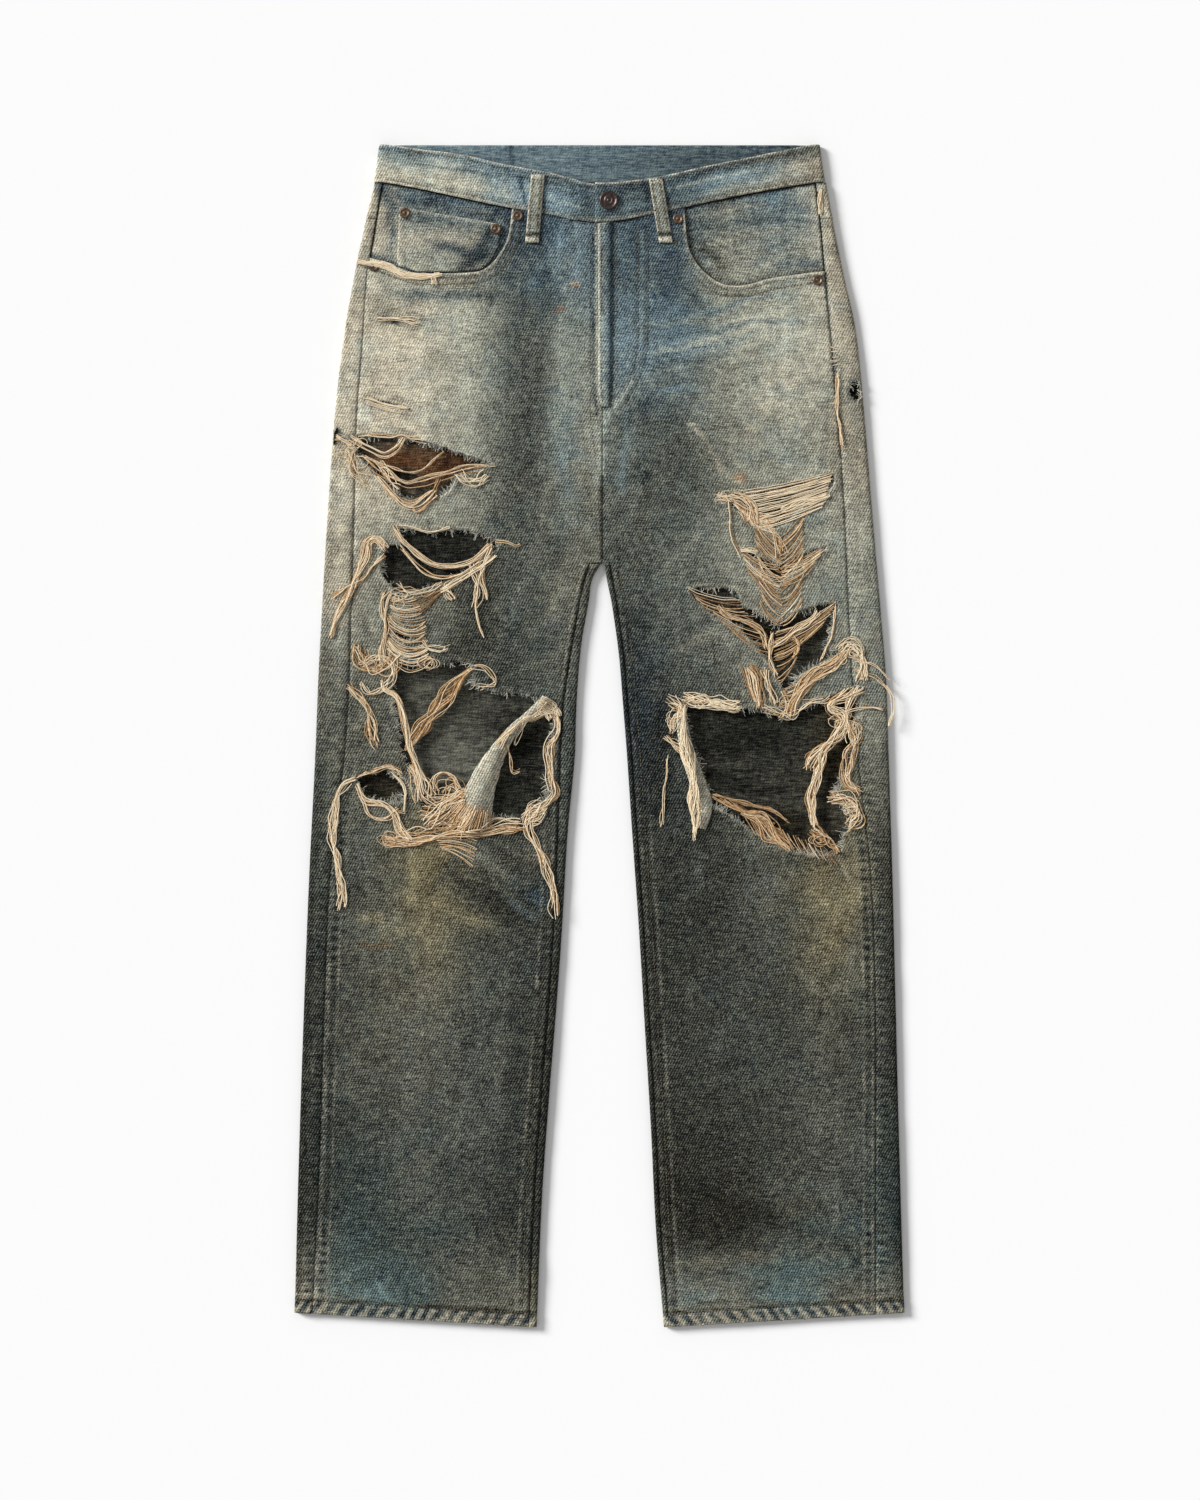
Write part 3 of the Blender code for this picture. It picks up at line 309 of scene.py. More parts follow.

# What shows of the back's inner face through the rips: its own tones darkened with painted shade
INSIDE = rows_of(Patch,
    (-130, 252, 50, 20, "u20"), (-190, 250, 40, 20, "u30"), (-180, 242, 14, 10, "m12"),
    (-150, 165, 66, 36, "m14"), (-188, 105, 30, 40, "y12"), (-140, 62, 40, 12, "m20"),
    (-150, 20, 40, 34, "m31"), (-100, 22, 34, 26, "m25"), (-130, -26, 36, 34, "m38"),
    (-72, -10, 26, 34, "m10"), (-66, -56, 30, 22, "m15"), (-150, -66, 30, 16, "m32"),
    (-204, -46, 36, 16, "y13"), (168, 218, 60, 20, "y17"), (170, 158, 40, 20, "y16"),
    (150, 100, 60, 36, "y14"), (150, 26, 70, 16, "m08"), (140, -4, 60, 24, "m11"),
    (150, -40, 60, 30, "m18"), (220, -10, 26, 70, "y17"), (160, -90, 70, 24, "y14"),
    (238, 322, 14, 18, "m12"))
# Waistband: x, height up the band in hundredths, and size in the same terms
BAND_TONES = rows_of(Tones,
    (100, "b45 b50 b45 b35 b30 b30 m35"), (50, "m70 m70 b60 b35 b35 b55 w60"),
    (0, "w75 m70 b60 b40 b40 m50 w55"))
BAND_COLUMNS = (-206, -130, -60, 0, 60, 130, 206)
BAND_STROKES = rows_of(Stroke,
    (-150, 60, 0, 90, 8, "b40", 0.6), (-100, 66, 0, 60, 8, "b32", 0.6),
    (-130, 34, 0, 90, 9, "m64", 0.7), (-80, 50, 0, 50, 8, "g58", 0.6),
    (-60, 78, 0, 60, 12, "b26", 0.6), (-30, 34, 0, 40, 7, "g60", 0.7),
    (-30, 62, 0, 40, 10, "b32", 0.6), (-180, 26, 0, 40, 14, "w68", 0.6),
    (-188, 78, 0, 40, 10, "g50"), (30, 78, 0, 40, 12, "i20", 0.8), (32, 30, 0, 30, 12, "b56", 0.6),
    (80, 60, 0, 44, 8, "m58", 0.7), (82, 42, 0, 60, 7, "b36", 0.6),
    (120, 62, 0, 60, 9, "m66", 0.7), (100, 82, 0, 90, 12, "b26", 0.7),
    (150, 84, 0, 70, 10, "m32", 0.7), (150, 42, 0, 70, 8, "g52", 0.6),
    (190, 50, 0, 30, 12, "w66", 0.6), (124, 22, 0, 60, 8, "m62", 0.6),
    # dark lines down the band beside the belt loops: painted shade, with unworn cloth there
    (-70, 45, 90, 80, 4, "i18", 0.7), (-52, 40, 90, 90, 4, "i15", 0.8),
    (45, 60, 90, 70, 5, "i14", 0.8), (66, 45, 90, 80, 4, "i18", 0.7),
    (-150, 30, 0, 110, 12, "w76"), (150, 30, 0, 100, 5, "w66"))
# the dark strokes on the coin pocket's lower right are painted shade
COIN_STROKES = rows_of(Stroke,
    (-160, 462, 0, 80, 22, "w70", 0.75), (-130, 452, -14, 60, 9, "i20", 0.75),
    (-118, 462, 60, 26, 9, "w56", 0.6), (-116, 442, 30, 40, 9, "i14", 0.7))


def encoded(code):
    """The sRGB parts of a hex code, from 0 to 1."""
    return tuple(int(code[i:i + 2], 16) / 255 for i in (1, 3, 5))


def linear(code):
    """Linear colour of an sRGB hex code."""
    return tuple(c / 12.92 if c <= 0.04045 else ((c + 0.055) / 1.055) ** 2.4
                 for c in encoded(code))


def colour_property(name, description, code):
    """A colour, kept in linear values."""
    return FloatVectorProperty(name=name, description=description, subtype='COLOR', size=3,
                               min=0, max=1, default=linear(code))


def shade_property(name, description, code):
    """A denim shade that the tones are mixed from, kept as it is seen."""
    return FloatVectorProperty(name=name, description=description, subtype='COLOR_GAMMA',
                               size=3, min=0, max=1, default=encoded(code))


def length_property(name, description, default, low, high):
    return FloatProperty(name=name, description=description, default=default, min=low, max=high,
                         unit='LENGTH')


class JeansCloth(bpy.types.PropertyGroup):
    """Sizes and shades of the denim."""
    wall: length_property("Wall", "Thickness of one layer of denim", 0.0012, 0.0006, 0.003)
    mesh_step: length_property("Mesh step",
        "Spacing of the cloth's vertices", 0.00255, 0.0015, 0.006)
    grain: FloatProperty(name="Grain", description="Contrast of the yarns against each other",
                         default=1.1, min=0, max=2)
    warm: shade_property("Warm", "Sun-bleached weft with dust in it", "#bbb29d")
    straw: shade_property("Straw", "Yellow-brown soiling", "#7f755a")
    moss: shade_property("Moss", "Dull olive grey of soiled indigo", "#6a6a60")
    grey: shade_property("Grey", "Clean worn grey", "#5a5e58")
    blue: shade_property("Blue", "Faded indigo", "#566469")
    indigo: shade_property("Indigo", "Indigo that is hardly worn", "#34424e")
    teal: shade_property("Teal", "Indigo greened by soil", "#4b5958")
    umber: shade_property("Umber", "Rust-brown stains", "#80593c")
    cream: shade_property("Cream", "Bare cotton", "#d8cfba")


class JeansThreads(bpy.types.PropertyGroup):
    """Sizes and colours of the frayed yarns."""
    yarn: length_property("Yarn", "Diameter of a loose weft yarn", 0.00082, 0.0004, 0.003)
    fuzz: length_property("Fuzz",
        "Usual length of cut yarn ends at a torn edge", 0.0034, 0.001, 0.01)
    dark: colour_property("Soiled yarn", "Darkest of the loose yarns", "#6e4c28")
    tan: colour_property("Tan yarn", "Most of the loose yarns", "#cda573")
    pale: colour_property("Cream yarn", "Cleanest of the loose yarns", "#f0dfc0")


class JeansTrim(bpy.types.PropertyGroup):
    """Sizes and colours of stitches and hardware."""
    pitch: length_property("Stitch pitch", "From one topstitch to the next", 0.0031, 0.002, 0.006)
    thread: length_property("Stitch thread",
        "Width of the topstitch thread", 0.0008, 0.0004, 0.002)
    thread_colour: colour_property("Topstitch", "Faded tan topstitch", "#86745a")
    copper: colour_property("Rivets", "Oxidised copper", "#84705f")
    button: colour_property("Button", "Dark oxidised metal", "#5a4c48")


class JeansStage(bpy.types.PropertyGroup):
    """The surface and the light."""
    floor: colour_property("Floor", "Pale surface under the garment", "#fdfdfd")
    key: FloatProperty(name="Key light", description="Strength of the soft key", default=3.85,
                       min=0, max=10)
    fill: FloatProperty(name="Fill light", description="Strength of the even light all round",
                        default=0.41, min=0, max=3)


def cloth_settings():
    return bpy.context.scene.jeans_cloth


def thread_settings():
    return bpy.context.scene.jeans_threads


def trim_settings():
    return bpy.context.scene.jeans_trim


def tone(code):
    """sRGB colour of a tone, such as w60: the shade's letter and its green in hundredths."""
    shade = np.array(getattr(cloth_settings(), SHADES[code[0]])[:])
    return shade / shade[1] * int(code[1:]) / 100


# ---- shape of the laid cloth ----

def hermite(table, name):
    """A column of a table as a smooth function of its first column."""
    rows = sorted(table)
    at = np.array([row[0] for row in rows], float)
    value = np.array([getattr(row, name) for row in rows], float)
    low = np.maximum(np.arange(len(at)) - 1, 0)
    high = np.minimum(np.arange(len(at)) + 1, len(at) - 1)
    slope = (value[high] - value[low]) / (at[high] - at[low])

    def function(y):
        y = np.clip(y, at[0], at[-1])
        i = np.clip(np.searchsorted(at, y, side="right") - 1, 0, len(at) - 2)
        span = at[i + 1] - at[i]
        t = (y - at[i]) / span
        return ((2 * t**3 - 3 * t**2 + 1) * value[i] + (t**3 - 2 * t**2 + t) * span * slope[i]
                + (3 * t**2 - 2 * t**3) * value[i + 1] + (t**3 - t**2) * span * slope[i + 1])
    return function


outer = {s: hermite(SIDES[s], "outer") for s in SIDES}
outseam = {s: hermite(SIDES[s], "outseam") for s in SIDES}
inseam = {s: hermite(INNERS[s], "inseam") for s in INNERS}
inner = {s: hermite(INNERS[s], "inner") for s in INNERS}
band_low, band_top = hermite(BAND, "bottom"), hermite(BAND, "top")


def hem_line(u):
    return FOOT + HEM_RISE * (u - 58.0) / 226.0


def bell(distance, width):
    """1 at no distance, falling away softly over a width."""
    return np.exp(-(distance / width)**2)


def ease(low, high, value):
    t = np.clip((value - low) / (high - low), 0.0, 1.0)
    return t * t * (3 - 2 * t)


def noise(x, y, size, seed):
    """Smooth noise from -1 to 1, with features of that size."""
    u, v = np.asarray(x, float) / size, np.asarray(y, float) / size
    iu, iv = np.floor(u), np.floor(v)
    fu, fv = u - iu, v - iv
    fu, fv = fu * fu * (3 - 2 * fu), fv * fv * (3 - 2 * fv)

    def corner(a, b):
        raw = np.sin(a * 127.1 + b * 311.7 + seed * 74.7) * 43758.5453
        return 2 * (raw - np.floor(raw)) - 1
    low = corner(iu, iv) * (1 - fu) + corner(iu + 1, iv) * fu
    high = corner(iu, iv + 1) * (1 - fu) + corner(iu + 1, iv + 1) * fu
    return low * (1 - fv) + high * fv


def weight(row, x, y):
    """How much of a fold or stroke there is at a place, from 0 to 1."""
    turn = math.radians(row.angle)
    dx, dy = x - row.x, y - row.y
    along = (dx * math.cos(turn) + dy * math.sin(turn)) / (row.length / 2)
    across = (dy * math.cos(turn) - dx * math.sin(turn)) / (row.width / 2)
    return np.exp(-across**2 - along**4)


def near(route, x, y, reach=1e9):
    """Distance to a route where it is within reach, and how far along it the nearest point is."""
    best, along, run = np.full(np.shape(x), 1e9), np.zeros(np.shape(x)), 0.0
    line = np.array(route, float)
    low, high = line.min(0) - reach, line.max(0) + reach
    k = np.nonzero((x > low[0]) & (x < high[0]) & (y > low[1]) & (y < high[1]))[0]
    px, py = x[k], y[k]
    found, place = best[k], along[k]
    for (ax, ay), (bx, by) in zip(line, line[1:]):
        dx, dy = bx - ax, by - ay
        size = math.hypot(dx, dy)
        if size == 0:
            continue
        t = np.clip(((px - ax) * dx + (py - ay) * dy) / size**2, 0, 1)
        distance = np.hypot(px - ax - t * dx, py - ay - t * dy)
        closer = distance < found
        found, place = np.where(closer, distance, found), np.where(closer, run + t * size, place)
        run += size
    best[k], along[k] = found, place
    return best, along


def cover(x, y):
    """Height of the outer face of the cloth on top, before seams and torn edges."""
    x, y = np.asarray(x, float), np.asarray(y, float)
    z = np.full(x.shape, LIE)
    for row in FOLDS:
        z += row.height * weight(row, x, y)
    # creases wander a little, and are uneven along their length
    wander, uneven = 2.5 * noise(x, y, 26, 5), 0.8 + 0.4 * noise(x, y, 18, 9)
    for row in CREASES:
        z += row.height * weight(row, x + wander, y + wander) * uneven
    return z + 0.30 * noise(x, y, 34, 1) + 0.14 * noise(x, y, 13, 2) + 0.06 * noise(x, y, 6, 3)


def spaced(points, step, closed=False):
    """Points at even spacing along a polyline."""
    points = np.array(points, float)
    if closed:
        points = np.vstack([points, points[:1]])
    run = np.r_[0, np.cumsum(np.hypot(*np.diff(points[:, :2], axis=0).T))]
    count = max(2, int(round(run[-1] / step)) + 1)
    at = np.linspace(0, run[-1], count)[:count - 1 if closed else count]
    return np.stack([np.interp(at, run, points[:, c]) for c in range(points.shape[1])], 1)


def curved(points, step, closed=False):
    """Points at even spacing along a smooth curve through a few points."""
    p = np.array(points, float)
    if closed:
        p = np.vstack([p[-1:], p, p[:2]])
    else:
        p = np.vstack([2 * p[:1] - p[1:2], p, 2 * p[-1:] - p[-2:-1]])
    t = np.linspace(0, 1, 12, endpoint=False)[:, None]
    parts = []
    for a, b, c, d in zip(p, p[1:], p[2:], p[3:]):
        parts.append(0.5 * (2 * b + (c - a) * t + (2 * a - 5 * b + 4 * c - d) * t**2
                            + (3 * b - a - 3 * c + d) * t**3))
    if not closed:
        parts.append(p[-2:-1])
    return spaced(np.vstack(parts), step, closed)


def normals_2d(points, closed=False):
    """Unit normals of a polyline, to its left."""
    if closed:
        ahead, behind = np.roll(points, -1, 0), np.roll(points, 1, 0)
    else:
        ahead = np.vstack([points[1:], points[-1:]])
        behind = np.vstack([points[:1], points[:-1]])
    run = ahead - behind
    run /= np.maximum(np.hypot(run[:, 0], run[:, 1]), 1e-9)[:, None]
    return np.stack([-run[:, 1], run[:, 0]], 1)


def ragged(points, amount, seed):
    """A torn outline: yarns end at uneven lengths along it."""
    line = spaced(curved(points, 2.0, True), 1.1, True)
    at = np.arange(len(line)) * 1.1
    swing = noise(at, 0, 9.0, seed) + 0.7 * noise(at, 0, 3.0, seed + 1)
    return line + normals_2d(line, True) * (amount * swing)[:, None]


TORN = {s: [ragged(points, 1.1, 10 * i + s) for i, points in enumerate(RIPS[s])] for s in RIPS}
WRAPPED = {s: [ragged(points, 1.0, 7) for points in WRAP_HOLES[s]] for s in RIPS}


def inside(outline, x, y):
    """Which points lie inside a closed outline."""
    found = np.zeros(x.shape, bool)
    low, high = outline.min(0), outline.max(0)
    near_it = np.nonzero((x > low[0]) & (x < high[0]) & (y > low[1]) & (y < high[1]))[0]
    px, py = x[near_it], y[near_it]
    hit = np.zeros(len(near_it), bool)
    for (ax, ay), (bx, by) in zip(outline, np.roll(outline, -1, 0)):
        if ay != by:
            crosses = (ay > py) != (by > py)
            hit ^= crosses & (px < (bx - ax) * (py - ay) / (by - ay) + ax)
    found[near_it] = hit
    return found


def torn_edge(s, x, y):
    """Distance to the nearest torn edge of a leg, within reach, and the place along it."""
    distance, along = np.full(x.shape, TORN_REACH), np.zeros(x.shape)
    for index, line in enumerate(TORN[s]):
        low, high = line.min(0) - TORN_REACH, line.max(0) + TORN_REACH
        k = np.nonzero((x > low[0]) & (x < high[0]) & (y > low[1]) & (y < high[1]))[0]
        if len(k):
            d, at = near(np.vstack([line, line[:1]])[::2], x[k], y[k])
            closer = d < distance[k]
            distance[k[closer]] = d[closer]
            along[k[closer]] = at[closer] + 400 * index
    return distance, along


def offset_route(route, amount):
    """A route moved sideways, to its left."""
    line = np.array(route, float)
    return line + normals_2d(line) * amount


def leg_route(function, s, start, end, shift=0.0, step=12.0):
    """A route down a leg on one of its seams."""
    y = np.arange(start, end, -step)
    return np.stack([s * (function[s](y) + shift), y], 1)


def hem_route(s, up):
    """A route across a hem, that far above its edge."""
    u = np.linspace(inner[s](FOOT + 10) + 2, outer[s](FOOT + 10) - 2, 24)
    return np.stack([s * u, hem_line(u) + up], 1)


# Curved stitching of the fly
J_STITCH = [(36, 474), (36, 430), (35.5, 390), (35, 360), (32, 345), (26, 326), (18, 313),
            (10, 305)]
J_OUTER = [(45, 474), (45, 430), (44.5, 390), (44, 362), (40, 343), (33, 324), (24, 310),
           (12, 299)]


def seams():
    """Lines on the front where seams lift and wear the cloth, with painted shade in their grooves.
    """
    rows = []
    for s in (-1, 1):
        rows += [
            # outseam: a groove darkened with painted shade, the turned allowance beside it, and
            # rub marks on that
            Seam(leg_route(outseam, s, 512, 250), 1.1, -1.1 if s > 0 else -0.5, "i16",
                 0.75 if s > 0 else 0.4, 0.2),
            Seam(leg_route(outseam, s, 250, -548), 0.9, -0.6, "g22", 0.40, 0.4),
            Seam(leg_route(outseam, s, 512, -548, 7.0), 4.5, 0.7, "w62", 0.12, 0.5),
            Seam(leg_route(outseam, s, 470, 262, -1.6), 1.2, 0.3, "c66", 0.6, 0.8),
            # hem: a groove darkened with painted shade, and worn ridges below it
            Seam(hem_route(s, HEM_DEPTH - 1), 1.2, -1.3, "g10", 0.9, 0.0),
            Seam(hem_route(s, HEM_DEPTH - 4.4), 2.2, 0.8, "w58", 0.30, 0.4),
            Seam(hem_route(s, 1.6), 2.8, 0.5, "w58", 0.3, 0.5),
            # inseam: felled, so one deep groove beside a rounded ridge, and a stitch groove, both
            # darkened with painted shade
            Seam(leg_route(inseam, s, 158, -548), 1.1, -1.2, "g10", 0.85, 0.0),
            Seam(leg_route(inseam, s, 158, -548, 3.4), 2.2, 0.8, "w60", 0.30, 0.8),
            Seam(leg_route(inseam, s, 158, -548, 7.4), 1.0, -0.6, "g20", 0.45, 0.4)]
        # rolled edge of the pocket opening, and its two stitch rows as dark lines of painted shade
        edge = curved(POCKETS[s], 3.0)
        rows.append(Seam(edge, 1.3, 1.0, "c82", 0.9, 0.25))
        for away, strength in ((3.2, 0.65), (9.4, 0.7)):
            rows.append(Seam(offset_route(edge, s * away), 1.0, -0.5, "g22", strength, 0.7))
    rows += [
        # the fly's folded edge, its underside and the strip to its right darkened with painted
        # shade, and the curved stitching with painted shade in its grooves
        Seam([(-3.2, 476), (-2.8, 400), (-2.4, 306)], 1.5, 0.3, "w74", 0.8, 0.3),
        Seam([(-5.6, 476), (-5.4, 400), (-4.6, 320), (-2, 300)], 1.3, -0.9, "i13", 0.8, 0.0),
        Seam([(13.0, 476), (13.2, 400), (12.6, 340), (11, 306)], 2.4, -0.6, "i18", 0.45, 0.3),
        Seam(J_STITCH, 1.1, -0.6, "i20", 0.6, 0.6), Seam(J_OUTER, 1.1, -0.6, "i22", 0.6, 0.6),
        Seam(offset_route(J_OUTER, -4.5), 2.4, 0.5, "g60", 0.45, 0.8),
        # the crotch seam, worn through to the light core
        Seam([(10, 300), (5, 288), (4, 262), (3, 244)], 5.5, 0.9, "g62", 0.75, 0.7),
        Seam([(22, 318), (14, 304), (7, 296)], 4.5, 0.8, "g66", 0.7, 0.5),
        # the lower crotch seam, a groove darkened with painted shade
        Seam([(3, 240), (3, 200), (3, 164)], 1.2, -1.1, "m14", 0.7, 0.0)]
    return rows


def seam_relief(rows, x, y):
    """Height that the seams add."""
    z = np.zeros(x.shape)
    for row in rows:
        distance, along = near(row.route, x, y, 4 * row.width)
        rope = 1 + row.rope * noise(along, 0, 5.0, 21) + 0.5 * row.rope * np.sin(along / 1.5)
        z += row.height * rope * bell(distance, row.width)
    return z


# ---- colours of the cloth ----

def tone_map(rows, columns, x, y):
    """Tones between those of a table, over its columns and rows."""
    rows = sorted(rows)
    grid = np.array([[tone(code) for code in row.codes.split()] for row in rows])
    levels = [row.y for row in rows]
    i = np.interp(y, levels, np.arange(len(levels)))
    j = np.interp(x, columns, np.arange(len(columns)))
    i0 = np.minimum(i.astype(int), len(levels) - 2)
    j0 = np.minimum(j.astype(int), len(columns) - 2)
    ti, tj = i - i0, j - j0
    ti = (0.4 * ti + 0.6 * ti * ti * (3 - 2 * ti))[:, None]
    tj = (0.4 * tj + 0.6 * tj * tj * (3 - 2 * tj))[:, None]
    low = grid[i0, j0] * (1 - tj) + grid[i0, j0 + 1] * tj
    high = grid[i0 + 1, j0] * (1 - tj) + grid[i0 + 1, j0 + 1] * tj
    return low * (1 - ti) + high * ti


def across(s, x, y):
    """Place across a leg, from 0 at its inseam or the rise seam to 1 at its outer fold."""
    near_middle = np.where(y < FORK, inner[s](y), 0)
    return (s * x - near_middle) / (outer[s](y) - near_middle)


def blend(colours, share, code):
    """Colours moved towards a tone."""
    share = np.clip(share, 0, 1)[:, None]
    return colours * (1 - share) + tone(code) * share


def painted(colours, *coats):
    """Colours under coats of (share, tone), laid in their order."""
    for share, code in coats:
        colours = blend(colours, share, code)
    return colours


def mottled(colours, x, y, amount=1.0):
    """Uneven wear at the sizes of a hand, a thumb and a yarn."""
    change = (0.06 * noise(x, y, 30, 31) + 0.08 * noise(x, y, 11, 32)
              + 0.07 * noise(x, y * 0.5, 4.5, 33) + 0.06 * noise(x * 0.3, y, 3.4, 36))
    blue = np.clip(0.5 * noise(x, y, 20, 34) + 0.3 * noise(x, y, 8, 35), 0, 1)[:, None]
    tinted = colours * (1 + amount * change)[:, None]
    return tinted * (1 - 0.07 * amount * blue * np.array([1.6, 0.6, -0.2]))


def face_colours(s, x, y, rows=()):
    """Worn tones of the front, at places on it, with painted shade and highlight in some creases
    and grooves.
    """
    wx = x + 5.0 * noise(x, y, 36, 41) + 2.0 * noise(x, y, 10, 42)
    wy = y + 5.0 * noise(x, y, 36, 43) + 2.0 * noise(x, y, 10, 44)
    colours = tone_map(WEAR[s], WEAR_ACROSS, across(s, wx, wy), wy)
    uneven = 0.85 + 0.35 * noise(x, y, 9, 45)
    for row in STROKES:
        if row.x * s > 0 or abs(row.x) < 40:
            colours = blend(colours, row.strength * weight(row, wx, wy) * uneven, row.tone)
    # a dark line of painted shade under the waistband's edge
    colours = blend(colours, 0.75 * bell(band_low(x) - y - 1.0, 1.5), "i13")
    colours = mottled(colours, x, y)
    # seam rows: pale wear on their ridges, painted shade in their grooves
    for row in rows:
        distance, along = near(row.route, x, y, 4 * row.width)
        rope = 1 - row.rope * (0.5 + 0.5 * np.sin(along / 1.4 + 2 * noise(along, 0, 9, 22)))
        share = row.strength * rope * bell(distance, row.width)
        colours = blend(colours, share * (0.8 + 0.4 * noise(along, distance, 14, 23)), row.tone)
    return colours


def edge_colours(s, x, y, colours):
    """Painted shade towards the folds of a leg, and unworn boxes between ridges beside its seams.
    """
    u = s * x
    lower = ease(-20.0, 140.0, -y)
    # painted shade where the leg rounds away at its outer fold and, below the fork, at its inner
    # edge
    out = bell(outer[s](y) - u, 8.0) * (0.12 + 0.22 * lower)
    inn = bell(u - inner[s](y), 7.0) * np.where(y < FORK, 0.22, 0)
    colours = colours * (1 - np.maximum(out, inn))[:, None]
    beat = np.sin(y / 1.45 + 1.5 * noise(y, 0, 30, 53))
    boxes = np.clip(2.2 * beat + 0.5 * noise(x, y, 8, 54), 0, 1)
    for centre, width, share in ((outseam[s](y) - 7.0, 3.8, 1.0), (outseam[s](y) + 6.0, 4.4, 1.0),
                                 (inseam[s](y) + 7.5, 3.8, 0.9)):
        beside = np.exp(-((u - centre) / width)**4)
        strength = share * lower * beside * boxes * (0.6 + 0.5 * noise(y, u, 40, 55))
        colours = blend(colours, strength, "t12")
    for centre in (outseam[s](y) - 3.4, outseam[s](y) - 11.5, inseam[s](y) + 12.5):
        line = bell(u - centre, 0.9) * lower * (0.5 + 0.4 * noise(y, u, 12, 56))
        colours = blend(colours, line, "w58")
    return colours


def hem_colours(s, x, y, colours):
    """The hem: twisted, so that it is worn in slanting ridges with blue between them."""
    u = s * x
    up = y - hem_line(u)
    on_hem = np.clip((HEM_DEPTH - 2.5 - up) / 1.0, 0, 1) * (up > -1)
    lean = np.sin((u + up * 0.8) / 2.05 + 2.2 * noise(u, 0, 26, 51))
    ridge = np.clip(0.5 + 1.1 * lean + 0.5 * noise(u, up, 5, 57), 0, 1)
    above = bell(up - HEM_DEPTH - 2.5, 2.4) * (0.6 + 0.5 * noise(u, up, 18, 58))
    return painted(
        colours, (0.75 * ridge * on_hem, "w60"),
        (0.75 * (1 - ridge) * on_hem * (0.75 + 0.5 * noise(u, up, 16, 52)), "i17"),
        (0.7 * bell(up - 0.5, 1.6), "w58"), (0.5 * above, "w56"))


def inner_colours(x, y):
    """The reverse of the cloth underneath, as it shows through the rips, darkened with painted
    shade.
    """
    colours = np.tile(tone("m26"), (len(x), 1))
    wx, wy = x + 3 * noise(x, y, 14, 61), y + 3 * noise(x, y, 14, 62)
    for row in INSIDE:
        share = np.exp(-(((wx - row.x) / row.across)**2 + ((wy - row.y) / row.along)**2) * 1.4)
        colours = blend(colours, 1.2 * share, row.tone)
    lines = 0.30 * noise(x * 0.08, y, 2.6, 63) * np.clip(0.6 + 0.8 * noise(x, y, 40, 64), 0.1, 1.4)
    return colours * (1 + lines)[:, None]


def back_colours(s, x, y):
    """The back of the garment: the same wear, with the seat and the backs of the knees rubbed."""
    colours = tone_map(WEAR[s], WEAR_ACROSS, across(s, x * 0.9 + s * 14, y), y)
    seat = np.exp(-((s * x - 110) / 80)**2 - ((y - 330) / 110)**2)
    colours = blend(colours, 0.5 * seat, "w60")
    lines = np.exp(-((y + 20 + 8 * noise(x, y, 60, 71)) % 34 - 17)**2 / 22.0)
    knee = bell(y + 20, 90)
    return mottled(blend(colours, 0.4 * lines * knee, "b46"), x, y)


# ---- meshes ----

def new_object(name, mesh):
    obj = bpy.data.objects.new(name, mesh)
    bpy.context.scene.collection.objects.link(obj)
    return obj


def used_only(points, faces):
    """The points that the faces use, and the faces renumbered to them."""
    used = np.unique(faces)
    renumber = np.zeros(len(points), int)
    renumber[used] = np.arange(len(used))
    return points[used], renumber[faces]


def fill_outline(outline, holes, step):
    """Even triangles inside an outline and outside its holes, for cloth cut flat."""
    def kept(at):
        keep = inside(outline, at[:, 0], at[:, 1])
        for hole in holes:
            keep &= ~inside(hole, at[:, 0], at[:, 1])
        return keep

    low, high = outline.min(0), outline.max(0)
    rows = []
    for i, q in enumerate(np.arange(low[1], high[1], step * 0.9)):
        p = np.arange(low[0] + (i % 2) * step / 2, high[0], step)
        rows.append(np.stack([p, np.full(len(p), q)], 1))
    points = np.vstack(rows)
    points = points[kept(points)]
    borders = np.vstack([outline] + list(holes))
    tree = kdtree.KDTree(len(borders))
    for index, (p, q) in enumerate(borders):
        tree.insert((p, q, 0), index)
    tree.balance()
    clear = [tree.find((p, q, 0))[2] > 0.55 * step for p, q in points]
    points = points[np.array(clear)]
    edges, first = [], 0
    for border in [outline] + list(holes):
        count = len(border)
        edges += [(first + k, first + (k + 1) % count) for k in range(count)]
        first += count
    verts = [Vector(p) for p in np.vstack([borders, points])]
    found = delaunay_2d_cdt(verts, edges, [], 0, 1e-5)
    flat = np.array([tuple(v) for v in found[0]])
    tris = np.array(found[2])
    a, b, c = flat[tris[:, 0]], flat[tris[:, 1]], flat[tris[:, 2]]
    area = (b - a)[:, 0] * (c - a)[:, 1] - (b - a)[:, 1] * (c - a)[:, 0]
    keep = kept(flat[tris].mean(1)) & (np.abs(area) > 1e-4)
    return used_only(flat, tris[keep])


def grid_faces(rows, columns):
    """Quads of a grid of points."""
    at = np.arange(rows * columns).reshape(rows, columns)
    return np.stack([at[:-1, :-1], at[:-1, 1:], at[1:, 1:], at[1:, :-1]], -1).reshape(-1, 4)


